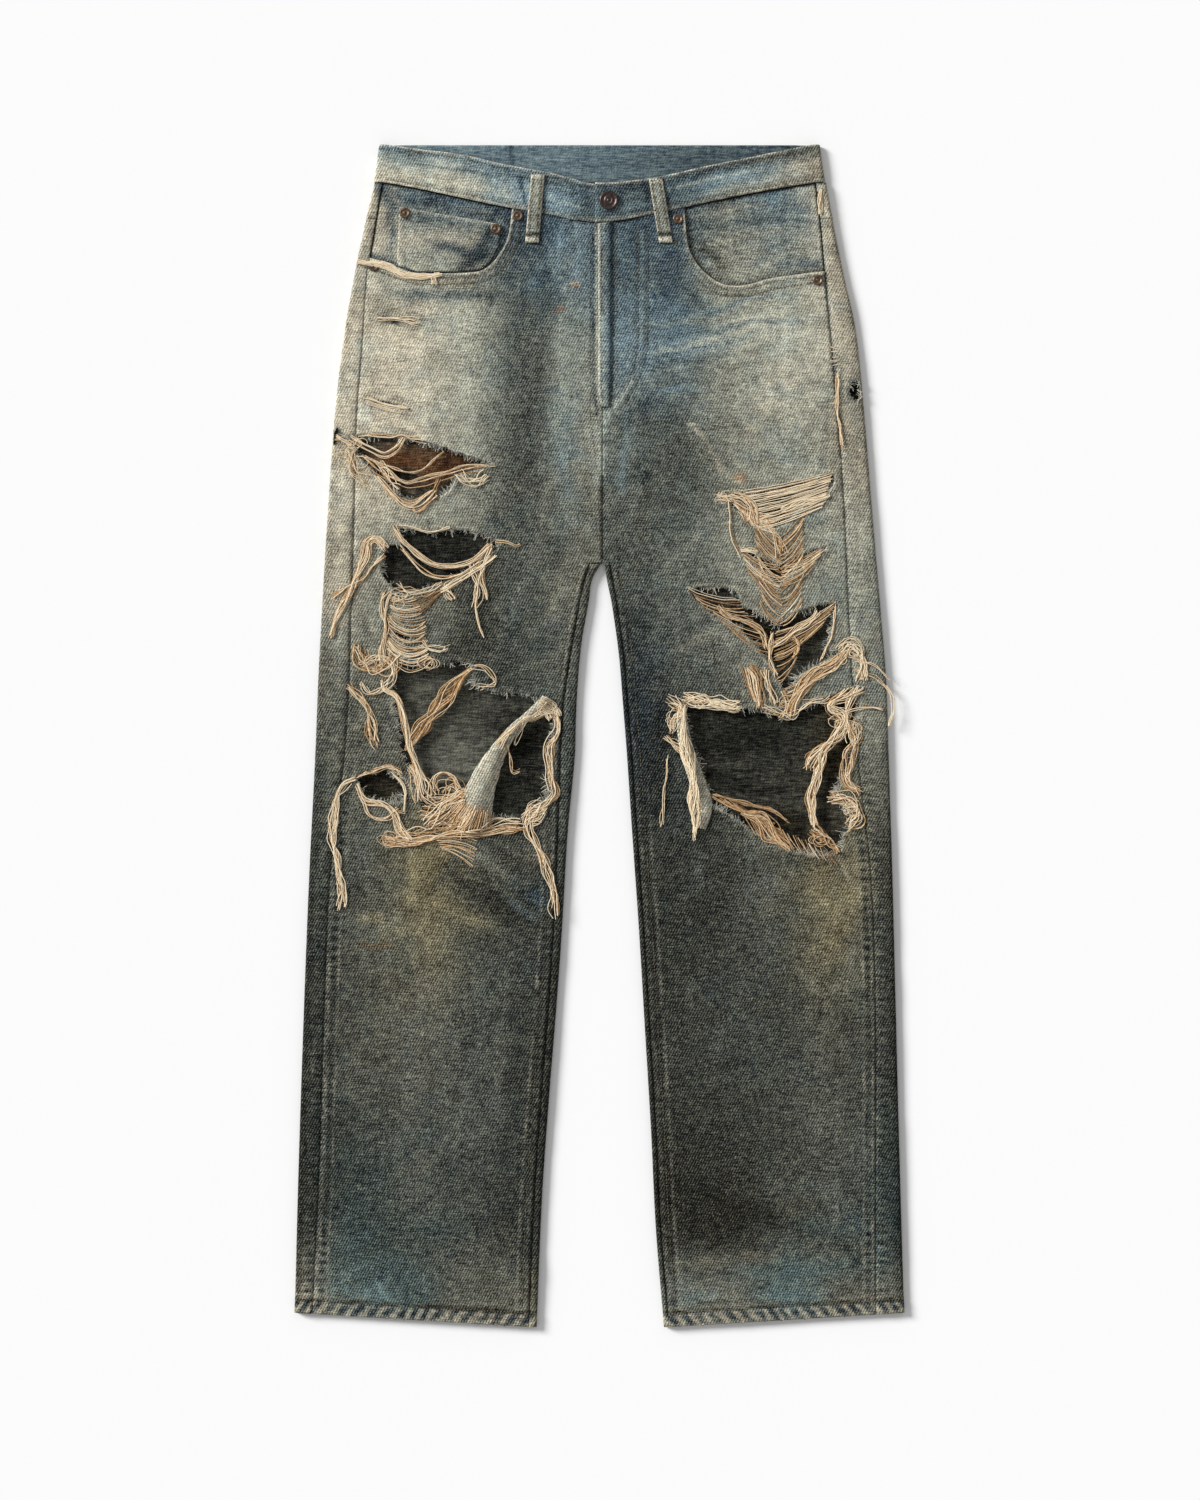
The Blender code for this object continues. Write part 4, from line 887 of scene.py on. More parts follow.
def cloth(name, points, faces, colours, lining, wall=None, tube=False):
    """One cut piece of denim, from points on its outer face in millimetres."""
    mesh = bpy.data.meshes.new(name)
    mesh.from_pydata((points * MM).tolist(), [], faces.tolist())
    obj = new_object(name, mesh)
    bm = bmesh.new()
    bm.from_mesh(mesh)
    bm.normal_update()
    middle = RADIUS * MM if tube else -1.0
    outward = sum(face.normal.z * face.calc_area() * (face.calc_center_median().z - middle)
                  for face in bm.faces)
    if outward < 0:
        bmesh.ops.reverse_faces(bm, faces=bm.faces)
    bm.to_mesh(mesh)
    bm.free()
    for label, values in (("wash", colours), ("lining", lining)):
        layer = mesh.attributes.new(label, 'FLOAT_COLOR', 'POINT')
        full = np.ones((len(mesh.vertices), 4), np.float32)
        full[:, :3] = np.clip(values, 0.02, 1)
        layer.data.foreach_set("color", full.ravel())
    mesh.shade_smooth()
    for material in denim_finish():
        mesh.materials.append(material)
    shell = obj.modifiers.new("wall", 'SOLIDIFY')
    shell.thickness = cloth_settings().wall if wall is None else wall * MM
    shell.offset = -1.0
    shell.material_offset, shell.material_offset_rim = 1, 2
    return obj


def grid_cloth(name, grid, colours, lining, **settings):
    """A piece of denim from rows of points."""
    return cloth(name, grid.reshape(-1, 3), grid_faces(*grid.shape[:2]), colours, lining,
                 **settings)


def finished(obj, nodes=(), body=BODY):
    """Puts a finished piece on the frame."""
    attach(obj, body)
    if nodes:
        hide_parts(*nodes)
    return obj


# ---- materials ----

def add(tree, kind, inputs=None, **settings):
    """Adds a node with its settings, and its inputs as values or links."""
    node = tree.nodes.new(kind)
    for key, value in settings.items():
        setattr(node, key, value)
    for key, value in (inputs or {}).items():
        if isinstance(value, bpy.types.NodeSocket):
            tree.links.new(value, node.inputs[key])
        else:
            node.inputs[key].default_value = value
    return node


def new_material(name, roughness, specular=0.5, sheen=0.0, metallic=0.0):
    """A material with its Principled shader's plain values set."""
    mat = bpy.data.materials.get(name)
    if mat:
        return mat, None, None
    mat = bpy.data.materials.new(name)
    mat.use_nodes = True
    shader = mat.node_tree.nodes["Principled BSDF"]
    shader.inputs["Roughness"].default_value = roughness
    shader.inputs["Specular IOR Level"].default_value = specular
    shader.inputs["Sheen Weight"].default_value = sheen
    shader.inputs["Sheen Roughness"].default_value = 0.6
    shader.inputs["Metallic"].default_value = metallic
    return mat, mat.node_tree, shader


def set_stops(ramp, *stops):
    """Gives a colour ramp its stops, each a position and a colour."""
    elements = ramp.color_ramp.elements
    for index, (position, colour) in enumerate(stops):
        stop = elements[index] if index < 2 else elements.new(position)
        stop.position, stop.color = position, (*colour, 1)


def millimetres(tree, turn=0.0, stretch=(1, 1, 1)):
    """Object coordinates in millimetres, turned about Z and stretched."""
    place = add(tree, 'ShaderNodeTexCoord').outputs["Object"]
    return add(tree, 'ShaderNodeMapping', {
        "Vector": place, "Rotation": (0, 0, turn),
        "Scale": tuple(1000 * c for c in stretch)}).outputs["Vector"]


def denim(name, attribute, twill, weft, warp, speck):
    """Worn denim: a 3/1 twill whose yarns differ in shade.

    The twill's ribs stand 1.3 mm apart and its yarns 0.6 mm. Both are drawn as 2.3 mm ribs
    and 1.3 mm streaks, because finer ones don't show.
    """
    mat, tree, shader = new_material(name, 0.95, 0.10, 0.03)
    if tree is None:
        return mat
    wash = add(tree, 'ShaderNodeAttribute', attribute_name=attribute).outputs["Color"]

    def streaks(stretch, detail=1.0):
        return add(tree, 'ShaderNodeTexNoise', {
            "Vector": millimetres(tree, 0.0, stretch), "Scale": 1.0, "Detail": detail,
            "Roughness": 0.6}).outputs["Fac"]

    def scaled(value, amount):
        centred = add(tree, 'ShaderNodeMath', {0: value, 1: 0.5}, operation='SUBTRACT')
        return add(tree, 'ShaderNodeMath', {0: centred.outputs[0], 1: amount},
                   operation='MULTIPLY').outputs[0]

    def total(values):
        last = values[0]
        for value in values[1:]:
            last = add(tree, 'ShaderNodeMath', {0: last, 1: value}, operation='ADD').outputs[0]
        return last

    # ribs run up to the right at 63 degrees
    across = add(tree, 'ShaderNodeSeparateXYZ', {"Vector": millimetres(tree, math.radians(27))})
    ribs = add(tree, 'ShaderNodeMath', {0: across.outputs["X"], 1: 2 * math.pi / 2.3},
               operation='MULTIPLY').outputs[0]
    ribs = add(tree, 'ShaderNodeMath', {0: ribs}, operation='SINE').outputs[0]
    grain = total([
        add(tree, 'ShaderNodeMath', {0: ribs, 1: twill}, operation='MULTIPLY').outputs[0],
        scaled(streaks((0.13, 0.85, 0.5)), weft), scaled(streaks((0.8, 0.09, 0.5)), warp),
        scaled(streaks((0.9, 0.9, 0.9), 2.0), speck)])
    # the yarns differ by the same step in light and dark places, so they are added as seen
    seen = add(tree, 'ShaderNodeCombineXYZ', {
        "X": grain, "Y": grain,
        "Z": add(tree, 'ShaderNodeMath', {0: grain, 1: 0.82}, operation='MULTIPLY').outputs[0]})
    together = add(tree, 'ShaderNodeVectorMath', {0: wash, 1: seen.outputs[0]}, operation='ADD')
    clipped = add(tree, 'ShaderNodeVectorMath', {0: together.outputs[0], 1: (0.03, 0.03, 0.03)},
                  operation='MAXIMUM')
    colour = add(tree, 'ShaderNodeGamma', {"Color": clipped.outputs[0], "Gamma": 2.2})
    tree.links.new(colour.outputs[0], shader.inputs["Base Color"])
    bump = add(tree, 'ShaderNodeBump', {"Height": grain, "Strength": 0.5, "Distance": 0.0006})
    tree.links.new(bump.outputs[0], shader.inputs["Normal"])
    return mat


def denim_finish():
    """Outer face, reverse and raw edge."""
    amount = cloth_settings().grain
    # washed right-hand twill: matt, dry, the white weft showing as flecks through dull indigo
    face = denim("washed_indigo_twill", "wash", 0.11 * amount, 0.46 * amount, 0.26 * amount,
                 0.80 * amount)
    # the reverse: mostly weft, so level streaks across it
    reverse = denim("twill_reverse", "lining", 0.03 * amount, 0.46 * amount, 0.20 * amount,
                    0.25 * amount)
    return [face, reverse, raw_edge()]


def raw_edge():
    """Cut edge of denim: a fuzzy line of mixed pale and blue yarn ends."""
    mat, tree, shader = new_material("raw_denim_edge", 0.95, 0.15, 0.1)
    if tree is None:
        return mat
    ends = add(tree, 'ShaderNodeTexNoise', {
        "Vector": millimetres(tree), "Scale": 0.7, "Detail": 2.0})
    ramp = add(tree, 'ShaderNodeValToRGB', {"Fac": ends.outputs["Fac"]})
    set_stops(ramp, (0.38, linear("#5d635e")), (0.62, linear("#c4bba4")))
    tree.links.new(ramp.outputs["Color"], shader.inputs["Base Color"])
    return mat


def cotton_yarn():
    """Loose weft yarn: unbleached cotton stained tan, twisted, with a soft matt fuzz."""
    mat, tree, shader = new_material("soiled_cotton_yarn", 0.9, 0.2, 0.15)
    if tree is None:
        return mat
    settings = thread_settings()
    tint = add(tree, 'ShaderNodeAttribute', attribute_name="tint").outputs["Fac"]
    # plies of 0.5 mm drawn as flecks of 1.5 mm
    plies = add(tree, 'ShaderNodeTexNoise', {
        "Vector": millimetres(tree), "Scale": 0.45, "Detail": 3.0})
    mixed = add(tree, 'ShaderNodeMath', {0: plies.outputs["Fac"], 1: 0.5}, operation='SUBTRACT')
    mixed = add(tree, 'ShaderNodeMath', {0: mixed.outputs[0], 1: 1.0}, operation='MULTIPLY')
    mixed = add(tree, 'ShaderNodeMath', {0: mixed.outputs[0], 1: tint}, operation='ADD')
    ramp = add(tree, 'ShaderNodeValToRGB', {"Fac": mixed.outputs[0]})
    set_stops(ramp, (0.0, settings.dark), (0.5, settings.tan), (0.85, settings.pale))
    tree.links.new(ramp.outputs["Color"], shader.inputs["Base Color"])
    return mat


def cut_ends():
    """Cut warp and weft ends at a torn edge: white cotton and pale blue, fuzzy."""
    mat, tree, shader = new_material("cut_yarn_ends", 0.95, 0.15, 0.2)
    if tree is None:
        return mat
    tint = add(tree, 'ShaderNodeAttribute', attribute_name="tint").outputs["Fac"]
    ramp = add(tree, 'ShaderNodeValToRGB', {"Fac": tint})
    set_stops(ramp, (0.0, linear("#3d4746")), (0.55, linear("#7f857d")),
              (0.95, linear("#cdc6b4")))
    tree.links.new(ramp.outputs["Color"], shader.inputs["Base Color"])
    return mat


def stitch_thread():
    """Polyester-cotton topstitch, faded from orange to tan."""
    mat, tree, shader = new_material("faded_topstitch", 0.75, 0.3)
    if tree is None:
        return mat
    wear = add(tree, 'ShaderNodeTexNoise', {
        "Vector": millimetres(tree), "Scale": 0.05, "Detail": 3.0})
    ramp = add(tree, 'ShaderNodeValToRGB', {"Fac": wear.outputs["Fac"]})
    base = trim_settings().thread_colour
    set_stops(ramp, (0.36, [0.45 * c for c in base]), (0.62, base))
    tree.links.new(ramp.outputs["Color"], shader.inputs["Base Color"])
    return mat


def worn_metal(name, colour, roughness):
    """Stamped metal with dark oxide in its hollows and bare metal on its rims."""
    mat, tree, shader = new_material(name, roughness, metallic=0.85)
    if tree is None:
        return mat
    oxide = add(tree, 'ShaderNodeTexNoise', {
        "Vector": millimetres(tree), "Scale": 0.55, "Detail": 5.0, "Roughness": 0.7})
    ramp = add(tree, 'ShaderNodeValToRGB', {"Fac": oxide.outputs["Fac"]})
    set_stops(ramp, (0.34, [0.30 * c for c in colour]),
              (0.66, [min(1, 1.25 * c) for c in colour]))
    tree.links.new(ramp.outputs["Color"], shader.inputs["Base Color"])
    bump = add(tree, 'ShaderNodeBump', {"Height": oxide.outputs["Fac"], "Strength": 0.4,
                                        "Distance": 0.0002})
    tree.links.new(bump.outputs[0], shader.inputs["Normal"])
    return mat


# ---- things that follow a path ----

def node_tree(name, inputs):
    """A geometry node tree with named inputs: name, kind and default."""
    tree = bpy.data.node_groups.get(name)
    if tree:
        return tree, None, None
    tree = bpy.data.node_groups.new(name, 'GeometryNodeTree')
    tree.interface.new_socket("Geometry", in_out='INPUT', socket_type='NodeSocketGeometry')
    for label, kind, value in inputs:
        socket = tree.interface.new_socket(label, in_out='INPUT', socket_type=kind)
        if value is not None:
            socket.default_value = value
    tree.interface.new_socket("Geometry", in_out='OUTPUT', socket_type='NodeSocketGeometry')
    return tree, tree.nodes.new('NodeGroupInput'), tree.nodes.new('NodeGroupOutput')


def yarn_tree():
    """Sweeps a round yarn along each line, as thick as the line's radius attribute."""
    tree, start, end = node_tree("yarns_along_lines", [
        ("Sides", 'NodeSocketInt', 5), ("Material", 'NodeSocketMaterial', None)])
    if start is None:
        return tree
    radius = add(tree, 'GeometryNodeInputNamedAttribute', {"Name": "radius"}, data_type='FLOAT')
    curve = add(tree, 'GeometryNodeMeshToCurve', {"Mesh": start.outputs["Geometry"]})
    ring = add(tree, 'GeometryNodeCurvePrimitiveCircle', {
        "Resolution": start.outputs["Sides"], "Radius": 1.0})
    swept = add(tree, 'GeometryNodeCurveToMesh', {
        "Curve": curve.outputs["Curve"], "Profile Curve": ring.outputs["Curve"],
        "Scale": radius.outputs["Attribute"], "Fill Caps": True})
    soft = add(tree, 'GeometryNodeSetShadeSmooth', {"Geometry": swept.outputs["Mesh"]})
    real = add(tree, 'GeometryNodeRealizeInstances', {"Geometry": soft.outputs["Geometry"]})
    done = add(tree, 'GeometryNodeSetMaterial', {
        "Geometry": real.outputs["Geometry"], "Material": start.outputs["Material"]})
    tree.links.new(done.outputs["Geometry"], end.inputs["Geometry"])
    return tree


def stitch_tree():
    """Lays a stitch on each line at every pitch, with a few missing."""
    tree, start, end = node_tree("stitches_along_lines", [
        ("Pitch", 'NodeSocketFloat', 0.003), ("Length", 'NodeSocketFloat', 0.0024),
        ("Width", 'NodeSocketFloat', 0.0008), ("Kept", 'NodeSocketFloat', 0.9),
        ("Seed", 'NodeSocketInt', 1), ("Material", 'NodeSocketMaterial', None)])
    if start is None:
        return tree
    curve = add(tree, 'GeometryNodeMeshToCurve', {"Mesh": start.outputs["Geometry"]})
    even = add(tree, 'GeometryNodeResampleCurve', {
        "Curve": curve.outputs["Curve"], "Length": start.outputs["Pitch"]}, mode='LENGTH')
    tangent = add(tree, 'GeometryNodeInputTangent')
    facing = add(tree, 'FunctionNodeAlignRotationToVector', {
        "Vector": tangent.outputs["Tangent"]}, axis='X')
    capsule = add(tree, 'GeometryNodeMeshUVSphere', {"Segments": 5, "Rings": 3, "Radius": 0.5})
    size = add(tree, 'ShaderNodeCombineXYZ', {
        "X": start.outputs["Length"], "Y": start.outputs["Width"], "Z": start.outputs["Width"]})
    shaped = add(tree, 'GeometryNodeTransform', {
        "Geometry": capsule.outputs["Mesh"], "Scale": size.outputs[0]})
    keep = add(tree, 'FunctionNodeRandomValue', {
        "Probability": start.outputs["Kept"], "Seed": start.outputs["Seed"]}, data_type='BOOLEAN')
    laid = add(tree, 'GeometryNodeInstanceOnPoints', {
        "Points": even.outputs["Curve"], "Selection": keep.outputs[3],
        "Instance": shaped.outputs["Geometry"], "Rotation": facing.outputs["Rotation"]})
    real = add(tree, 'GeometryNodeRealizeInstances', {"Geometry": laid.outputs["Instances"]})
    soft = add(tree, 'GeometryNodeSetShadeSmooth', {"Geometry": real.outputs["Geometry"]})
    done = add(tree, 'GeometryNodeSetMaterial', {
        "Geometry": soft.outputs["Geometry"], "Material": start.outputs["Material"]})
    tree.links.new(done.outputs["Geometry"], end.inputs["Geometry"])
    return tree


def rivet_tree():
    """Sets a copy of a rivet on each point, each turned differently."""
    tree, start, end = node_tree("rivets_on_points", [
        ("Rivet", 'NodeSocketObject', None), ("Seed", 'NodeSocketInt', 3),
        ("Material", 'NodeSocketMaterial', None)])
    if start is None:
        return tree
    source = add(tree, 'GeometryNodeObjectInfo', {"Object": start.outputs["Rivet"]})
    turn = add(tree, 'FunctionNodeRandomValue', {
        "Min": (0.0, 0.0, 0.0), "Max": (0.0, 0.0, 6.28), "Seed": start.outputs["Seed"]},
        data_type='FLOAT_VECTOR')
    laid = add(tree, 'GeometryNodeInstanceOnPoints', {
        "Points": start.outputs["Geometry"], "Instance": source.outputs["Geometry"],
        "Rotation": turn.outputs[0]})
    real = add(tree, 'GeometryNodeRealizeInstances', {"Geometry": laid.outputs["Instances"]})
    done = add(tree, 'GeometryNodeSetMaterial', {
        "Geometry": real.outputs["Geometry"], "Material": start.outputs["Material"]})
    tree.links.new(done.outputs["Geometry"], end.inputs["Geometry"])
    return tree


def run_tree(source, name, tree, **inputs):
    """Replaces an object by what a tree makes of it, as a plain mesh."""
    step = source.modifiers.new("grow", 'NODES')
    step.node_group = tree
    for item in tree.interface.items_tree:
        if item.item_type == 'SOCKET' and item.in_out == 'INPUT' and item.name in inputs:
            step[item.identifier] = inputs[item.name]
    source.update_tag()
    graph = bpy.context.evaluated_depsgraph_get()
    result = bpy.data.meshes.new_from_object(source.evaluated_get(graph), depsgraph=graph)
    result.name = name
    result.materials.clear()
    result.materials.append(inputs["Material"])
    result.polygons.foreach_set("material_index", np.zeros(len(result.polygons), np.int32))
    source.modifiers.remove(step)
    bpy.data.objects.remove(source, do_unlink=True)
    return new_object(name, result)


def grown(name, lines, tree, **inputs):
    """What a tree makes of lines, each with its points, radius and tint."""
    mesh = bpy.data.meshes.new(name + "_lines")
    verts, edges, radii, tints = [], [], [], []
    for points, radius, tint in lines:
        first = len(verts)
        verts += (np.asarray(points) * MM).tolist()
        edges += [(first + k, first + k + 1) for k in range(len(points) - 1)]
        radii += [radius * MM] * len(points)
        tints += [tint] * len(points)
    mesh.from_pydata(verts, edges, [])
    for label, values in (("radius", radii), ("tint", tints)):
        layer = mesh.attributes.new(label, 'FLOAT', 'POINT')
        layer.data.foreach_set("value", np.array(values, np.float32))
    return run_tree(new_object(name + "_lines", mesh), name, tree, **inputs)


# ---- cut pieces ----

def front_outline(s):
    """Outline of a front panel, from the waist down the outseam and up the inseam."""
    side_y = np.arange(512.0, -533.0, -1.8)
    waist = np.linspace(outseam[s](SIDE_WAIST) - 0.4, s * CENTRE + 0.2, 110)
    hem = np.linspace(outseam[s](FOOT) - 0.3, inseam[s](FOOT) + HALF_GAP, 100)
    inner_y = np.arange(FOOT + 4.0, FORK + 0.4, 1.8)
    middle_y = np.arange(FORK + 1.2, float(band_low(CENTRE)) - 2, 1.8)
    return np.vstack([
        np.stack([s * waist, band_low(s * waist) - 0.3], 1),
        np.stack([np.full(len(middle_y), CENTRE + s * HALF_GAP), middle_y], 1)[::-1],
        np.stack([s * (inseam[s](inner_y) + HALF_GAP), inner_y], 1)[::-1],
        np.stack([s * hem, hem_line(hem)], 1)[::-1],
        np.stack([s * (outseam[s](side_y) - 0.05), side_y], 1)[::-1]])


def opening(s):
    """The pocket opening's edge, and its outline up past the waistband."""
    edge = curved(POCKETS[s], 2.2)
    corners = [(edge[-1][0], 520), (s * 225, 520), (s * 225, edge[0][1])]
    return edge, np.vstack([edge, corners])


def front(s, name):
    """Front panel with its pocket opening and rips."""
    edge, pocket = opening(s)
    flat, tris = fill_outline(front_outline(s), TORN[s] + [pocket],
                              cloth_settings().mesh_step / MM)
    x, y = flat.T
    rows = seams()
    z = cover(x, y) + seam_relief(rows, x, y)
    torn, along = torn_edge(s, x, y)
    # torn edges curl up unevenly
    z += (0.8 + 1.2 * noise(along, 0, 16, 11)) * bell(torn, 4.5)
    z += 0.6 * bell(near(edge, x, y, 20)[0], 8)
    colours = hem_colours(s, x, y, edge_colours(s, x, y, face_colours(s, x, y, rows)))
    worn = bell(torn, 2.6) * (0.55 + 0.45 * noise(along, 0, 7, 12))
    shade = bell(torn - 6, 3.0) * (0.5 + 0.5 * noise(along, 0, 20, 13))
    shade = np.where(torn < TORN_REACH - 0.1, shade, 0)
    colours = painted(colours, (0.6 * worn, "w68"), (0.25 * shade, "m24"))
    return cloth(name, np.stack([x, y, z], 1), tris, colours, inner_colours(x, y))


def wrapped(s, levels, top):
    """Points of a back panel: up over the side fold, under the leg, and over the inner fold."""
    turn = np.linspace(0, math.pi, 9)
    rows = []
    for y in levels:
        # each part holds places across the leg, heights, and how far they are on the top
        rim = float(outer[s](y)) - RADIUS
        strip = np.linspace(float(outseam[s](y)), rim, 8)[:-1]
        raised = SEAT_LIFT * float(ease(236.0, 260.0, y))
        if y > FORK + 1:
            last = s * CENTRE + HALF_GAP
            first = last + 14
            tail = np.stack([np.linspace(first, last, 14), np.full(14, raised), np.zeros(14)], 1)
        else:
            first = float(inner[s](y)) + RADIUS
            flat = np.linspace(first, float(inseam[s](y)) - HALF_GAP, 6)[1:]
            tail = np.vstack([
                np.stack([first - RADIUS * np.sin(turn), RADIUS - RADIUS * np.cos(turn),
                          (1 - np.cos(turn)) / 2], 1),
                np.stack([flat, np.full(5, LIE), np.ones(5)], 1)])
        under = np.linspace(rim, first, 60)[1:-1]
        u, z, share = np.vstack([
            np.stack([strip, np.full(7, LIE), np.ones(7)], 1),
            np.stack([rim + RADIUS * np.sin(turn), RADIUS + RADIUS * np.cos(turn),
                      (1 + np.cos(turn)) / 2], 1),
            np.stack([under, np.full(58, raised), np.zeros(58)], 1), tail]).T
        x = s * u
        at = y
        if top is not None:
            straight = top(SIDE_U)
            at = y + (top(u) - straight) * max(0.0, (y - 380.0) / (straight - 380.0))
        slant = (y - SLANT_TOP) * (hem_line(u) - SLANT_TOP) / (FOOT - SLANT_TOP)
        at = np.where(y < SLANT_TOP, SLANT_TOP + slant, at)
        # the cloth underneath lies in low waves
        waves = np.clip(0.7 * noise(x, at, 44, 81) + 0.5 * noise(x, at, 17, 82), 0, 2)
        middle = np.clip((rim - u) / 20, 0, 1) * np.clip((u - first) / 20, 0, 1)
        z = z + share * (cover(x, at) - LIE) + waves * middle * (1 - share)
        rows.append(np.stack([x, at, z], 1))
    return np.array(rows)


def yoke_line(u):
    """The yoke seam drops towards centre back."""
    return YOKE_CENTRE + (YOKE_SIDE - YOKE_CENTRE) * np.clip(u / SIDE_U, 0, 1)


def open_wrap(points, faces, outlines):
    """Takes rips out of the part of a back panel that wraps on to the top."""
    middle = points[faces].mean(1)
    for line in outlines:
        gone = inside(line, middle[:, 0], middle[:, 1]) & (middle[:, 2] > ON_TOP)
        dense = spaced(np.vstack([line, line[:1]]), 0.5)
        for k in np.intersect1d(faces[gone], faces[~gone]):
            away = np.hypot(*(dense - points[k, :2]).T)
            if away.min() < 3.5 and points[k, 2] > ON_TOP:
                points[k, :2] = dense[away.argmin()]
        faces, middle = faces[~gone], middle[~gone]
    return faces


def back(s, name):
    """Back panel, from the yoke seam to the hem, round the sides of the leg."""
    levels = np.r_[np.arange(YOKE_SIDE - 0.3, FORK + 1.2, -3.2), FORK + 1.2, FORK,
                   np.arange(FORK - 3.0, FOOT + 1.0, -3.4), FOOT]
    grid = wrapped(s, levels, lambda u: yoke_line(u) - HALF_GAP)
    points = grid.reshape(-1, 3)
    points, faces = used_only(points, open_wrap(points, grid_faces(*grid.shape[:2]), WRAPPED[s]))
    x, y, z = points.T
    rows = seams()
    top = np.clip((z - ON_TOP) / 2.0, 0, 1)
    points[:, 2] += top * seam_relief(rows, x, y)
    face = edge_colours(s, x, y, face_colours(s, x, y, rows))
    behind = back_colours(s, x, y)
    colours = hem_colours(s, x, y, face * top[:, None] + behind * (1 - top)[:, None])
    return cloth(name, points, faces, colours, inner_colours(x, y), tube=True)


def yoke(s, name):
    """Yoke, from the waistband to the yoke seam."""
    levels = np.linspace(SIDE_WAIST, YOKE_SIDE, 15)
    grid = wrapped(s, levels, None)
    low = yoke_line(s * grid[:, :, 0]) + HALF_GAP
    share = ((levels - YOKE_SIDE) / (SIDE_WAIST - YOKE_SIDE))[:, None]
    grid[:, :, 1] = low + (SIDE_WAIST - 0.6 - low) * share
    x, y, z = grid.reshape(-1, 3).T
    rows = seams()
    lifted = z + np.clip((z - ON_TOP) / 2, 0, 1) * seam_relief(rows, x, y)
    grid[:, :, 2] = lifted.reshape(grid.shape[:2])
    return grid_cloth(name, grid, face_colours(s, x, y, rows), inner_colours(x, y), tube=True)


def band_colours(x, share):
    """Worn tones of the waistband's face, with painted shade beside the loops and in its stitch
    grooves.
    """
    up = 100 * share
    wx = x + 4 * noise(x, up, 30, 91)
    colours = tone_map(BAND_TONES, BAND_COLUMNS, wx, up + 8 * noise(x, 0, 24, 92))
    for row in BAND_STROKES:
        colours = blend(colours, row.strength * weight(row, wx, up), row.tone)
    # pale roll along the top edge, pale ridge along the bottom one, and painted shade in the
    # stitch grooves near both
    rope = 0.75 + 0.35 * noise(x, 0, 7, 93)
    colours = painted(
        colours, (rope * bell(up - 99.5, 3.6), "c78"), (0.5 * rope * bell(up - 90, 3), "g24"),
        (0.65 * rope * bell(up - 3, 6), "w66"), (0.4 * rope * bell(up - 13, 3.5), "g26"))
    return mottled(colours, x, up * 0.35)


def waistband(name):
    """One strip all round: its right end lies under the left end at centre front."""
    radius = (LIE + 0.7) / 2
    edge = 210.0 - radius
    turn = np.linspace(0, math.pi, 9)[1:-1]
    columns = [("front", x, -UNDER_DROP * float(ease(-20.0, -5.0, x)))
               for x in np.linspace(BAND_END[0], -edge, 118)]
    columns += [("fold", -1, t) for t in turn]
    columns += [("back", x, 0.0) for x in np.linspace(-edge, edge, 150)]
    columns += [("fold", 1, t) for t in turn[::-1]]
    columns += [("front", x, OVER_LIFT * (1 - float(ease(*BAND_END, x))))
                for x in np.linspace(edge, -4, 106)]
    rows = []
    for share in np.linspace(1, 0, 19):
        row, lean = [], 1 - BAND_LEAN * share
        tall = SIDE_WAIST + (TOP - SIDE_WAIST) * share
        for kind, x, extra in columns:
            if kind == "fold":
                row.append(((edge + radius * math.sin(extra)) * lean * x, tall,
                            radius + radius * math.cos(extra), share))
            elif kind == "back":
                row.append((x * lean, tall,
                            BACK_LIFT * (1 - float(ease(178.0, 200.0, abs(x)))), share))
            else:
                low, high = float(band_low(x)), float(band_top(x))
                tucked = 0.8 * (1 - 2 * share) if extra < 0 else 0
                row.append((x * lean, low + (high - low) * share + tucked, BAND_FACE + extra,
                            share))
        rows.append(row)
    grid = np.array(rows)
    x, y, z, share = grid.reshape(-1, 4).T
    # stitches along both edges pull the band into small puckers
    pucker = 0.28 * np.sin(x / 2.6 + 2 * noise(x, share, 30, 94)) * (
        bell(share - 0.92, 0.07) + bell(share - 0.1, 0.08))
    swell = 0.45 * np.sin(math.pi * share) + 0.3 * noise(x, share * 34, 18, 95)
    groove = -0.45 * (bell(share - 0.92, 0.03) + bell(share - 0.09, 0.03))
    z = z + np.where(z > 4, pucker + swell + groove, 0)
    lining = tone_map([Tones(560, "b44 b46 b42 b32 b26"), Tones(500, "b36 b40 b38 b30 b26")],
                      (-210, -100, 0, 100, 210), x, y)
    streak = 0.5 + 0.5 * noise(x * 0.06, y, 2.2, 96)
    lining = painted(lining, (0.6 * streak * (0.6 + 0.4 * noise(x, y, 50, 97)), "b62"),
                     (0.8 * bell(x + 82, 1.6), "i20"))
    return grid_cloth(name, np.stack([x, y, z], 1).reshape(*grid.shape[:2], 3),
                      band_colours(x, share), lining, tube=True)


def facing(s, name, reach, foot):
    """Cloth seen inside a front pocket, under the opening."""
    rows = []
    for y in np.linspace(SIDE_WAIST, foot, 44):
        u = np.linspace(float(outseam[s](y)) - 1.0, reach, 60)
        top = band_low(s * u) - 1.0
        at = foot + (y - foot) * (top - foot) / (SIDE_WAIST - foot)
        rows.append(np.stack([s * u, at, cover(s * u, at) - FACING_DROP], 1))
    grid = np.array(rows)
    x, y = grid.reshape(-1, 3)[:, :2].T
    beside = near(opening(s)[0], x, y, 30)[0]
    # painted shadow on the facing just inside the pocket opening
    colours = blend(face_colours(s, x, y), 0.75 * bell(beside, 5.0), "i22" if s < 0 else "g26")
    return grid_cloth(name, grid, colours, inner_colours(x, y), wall=1.0)


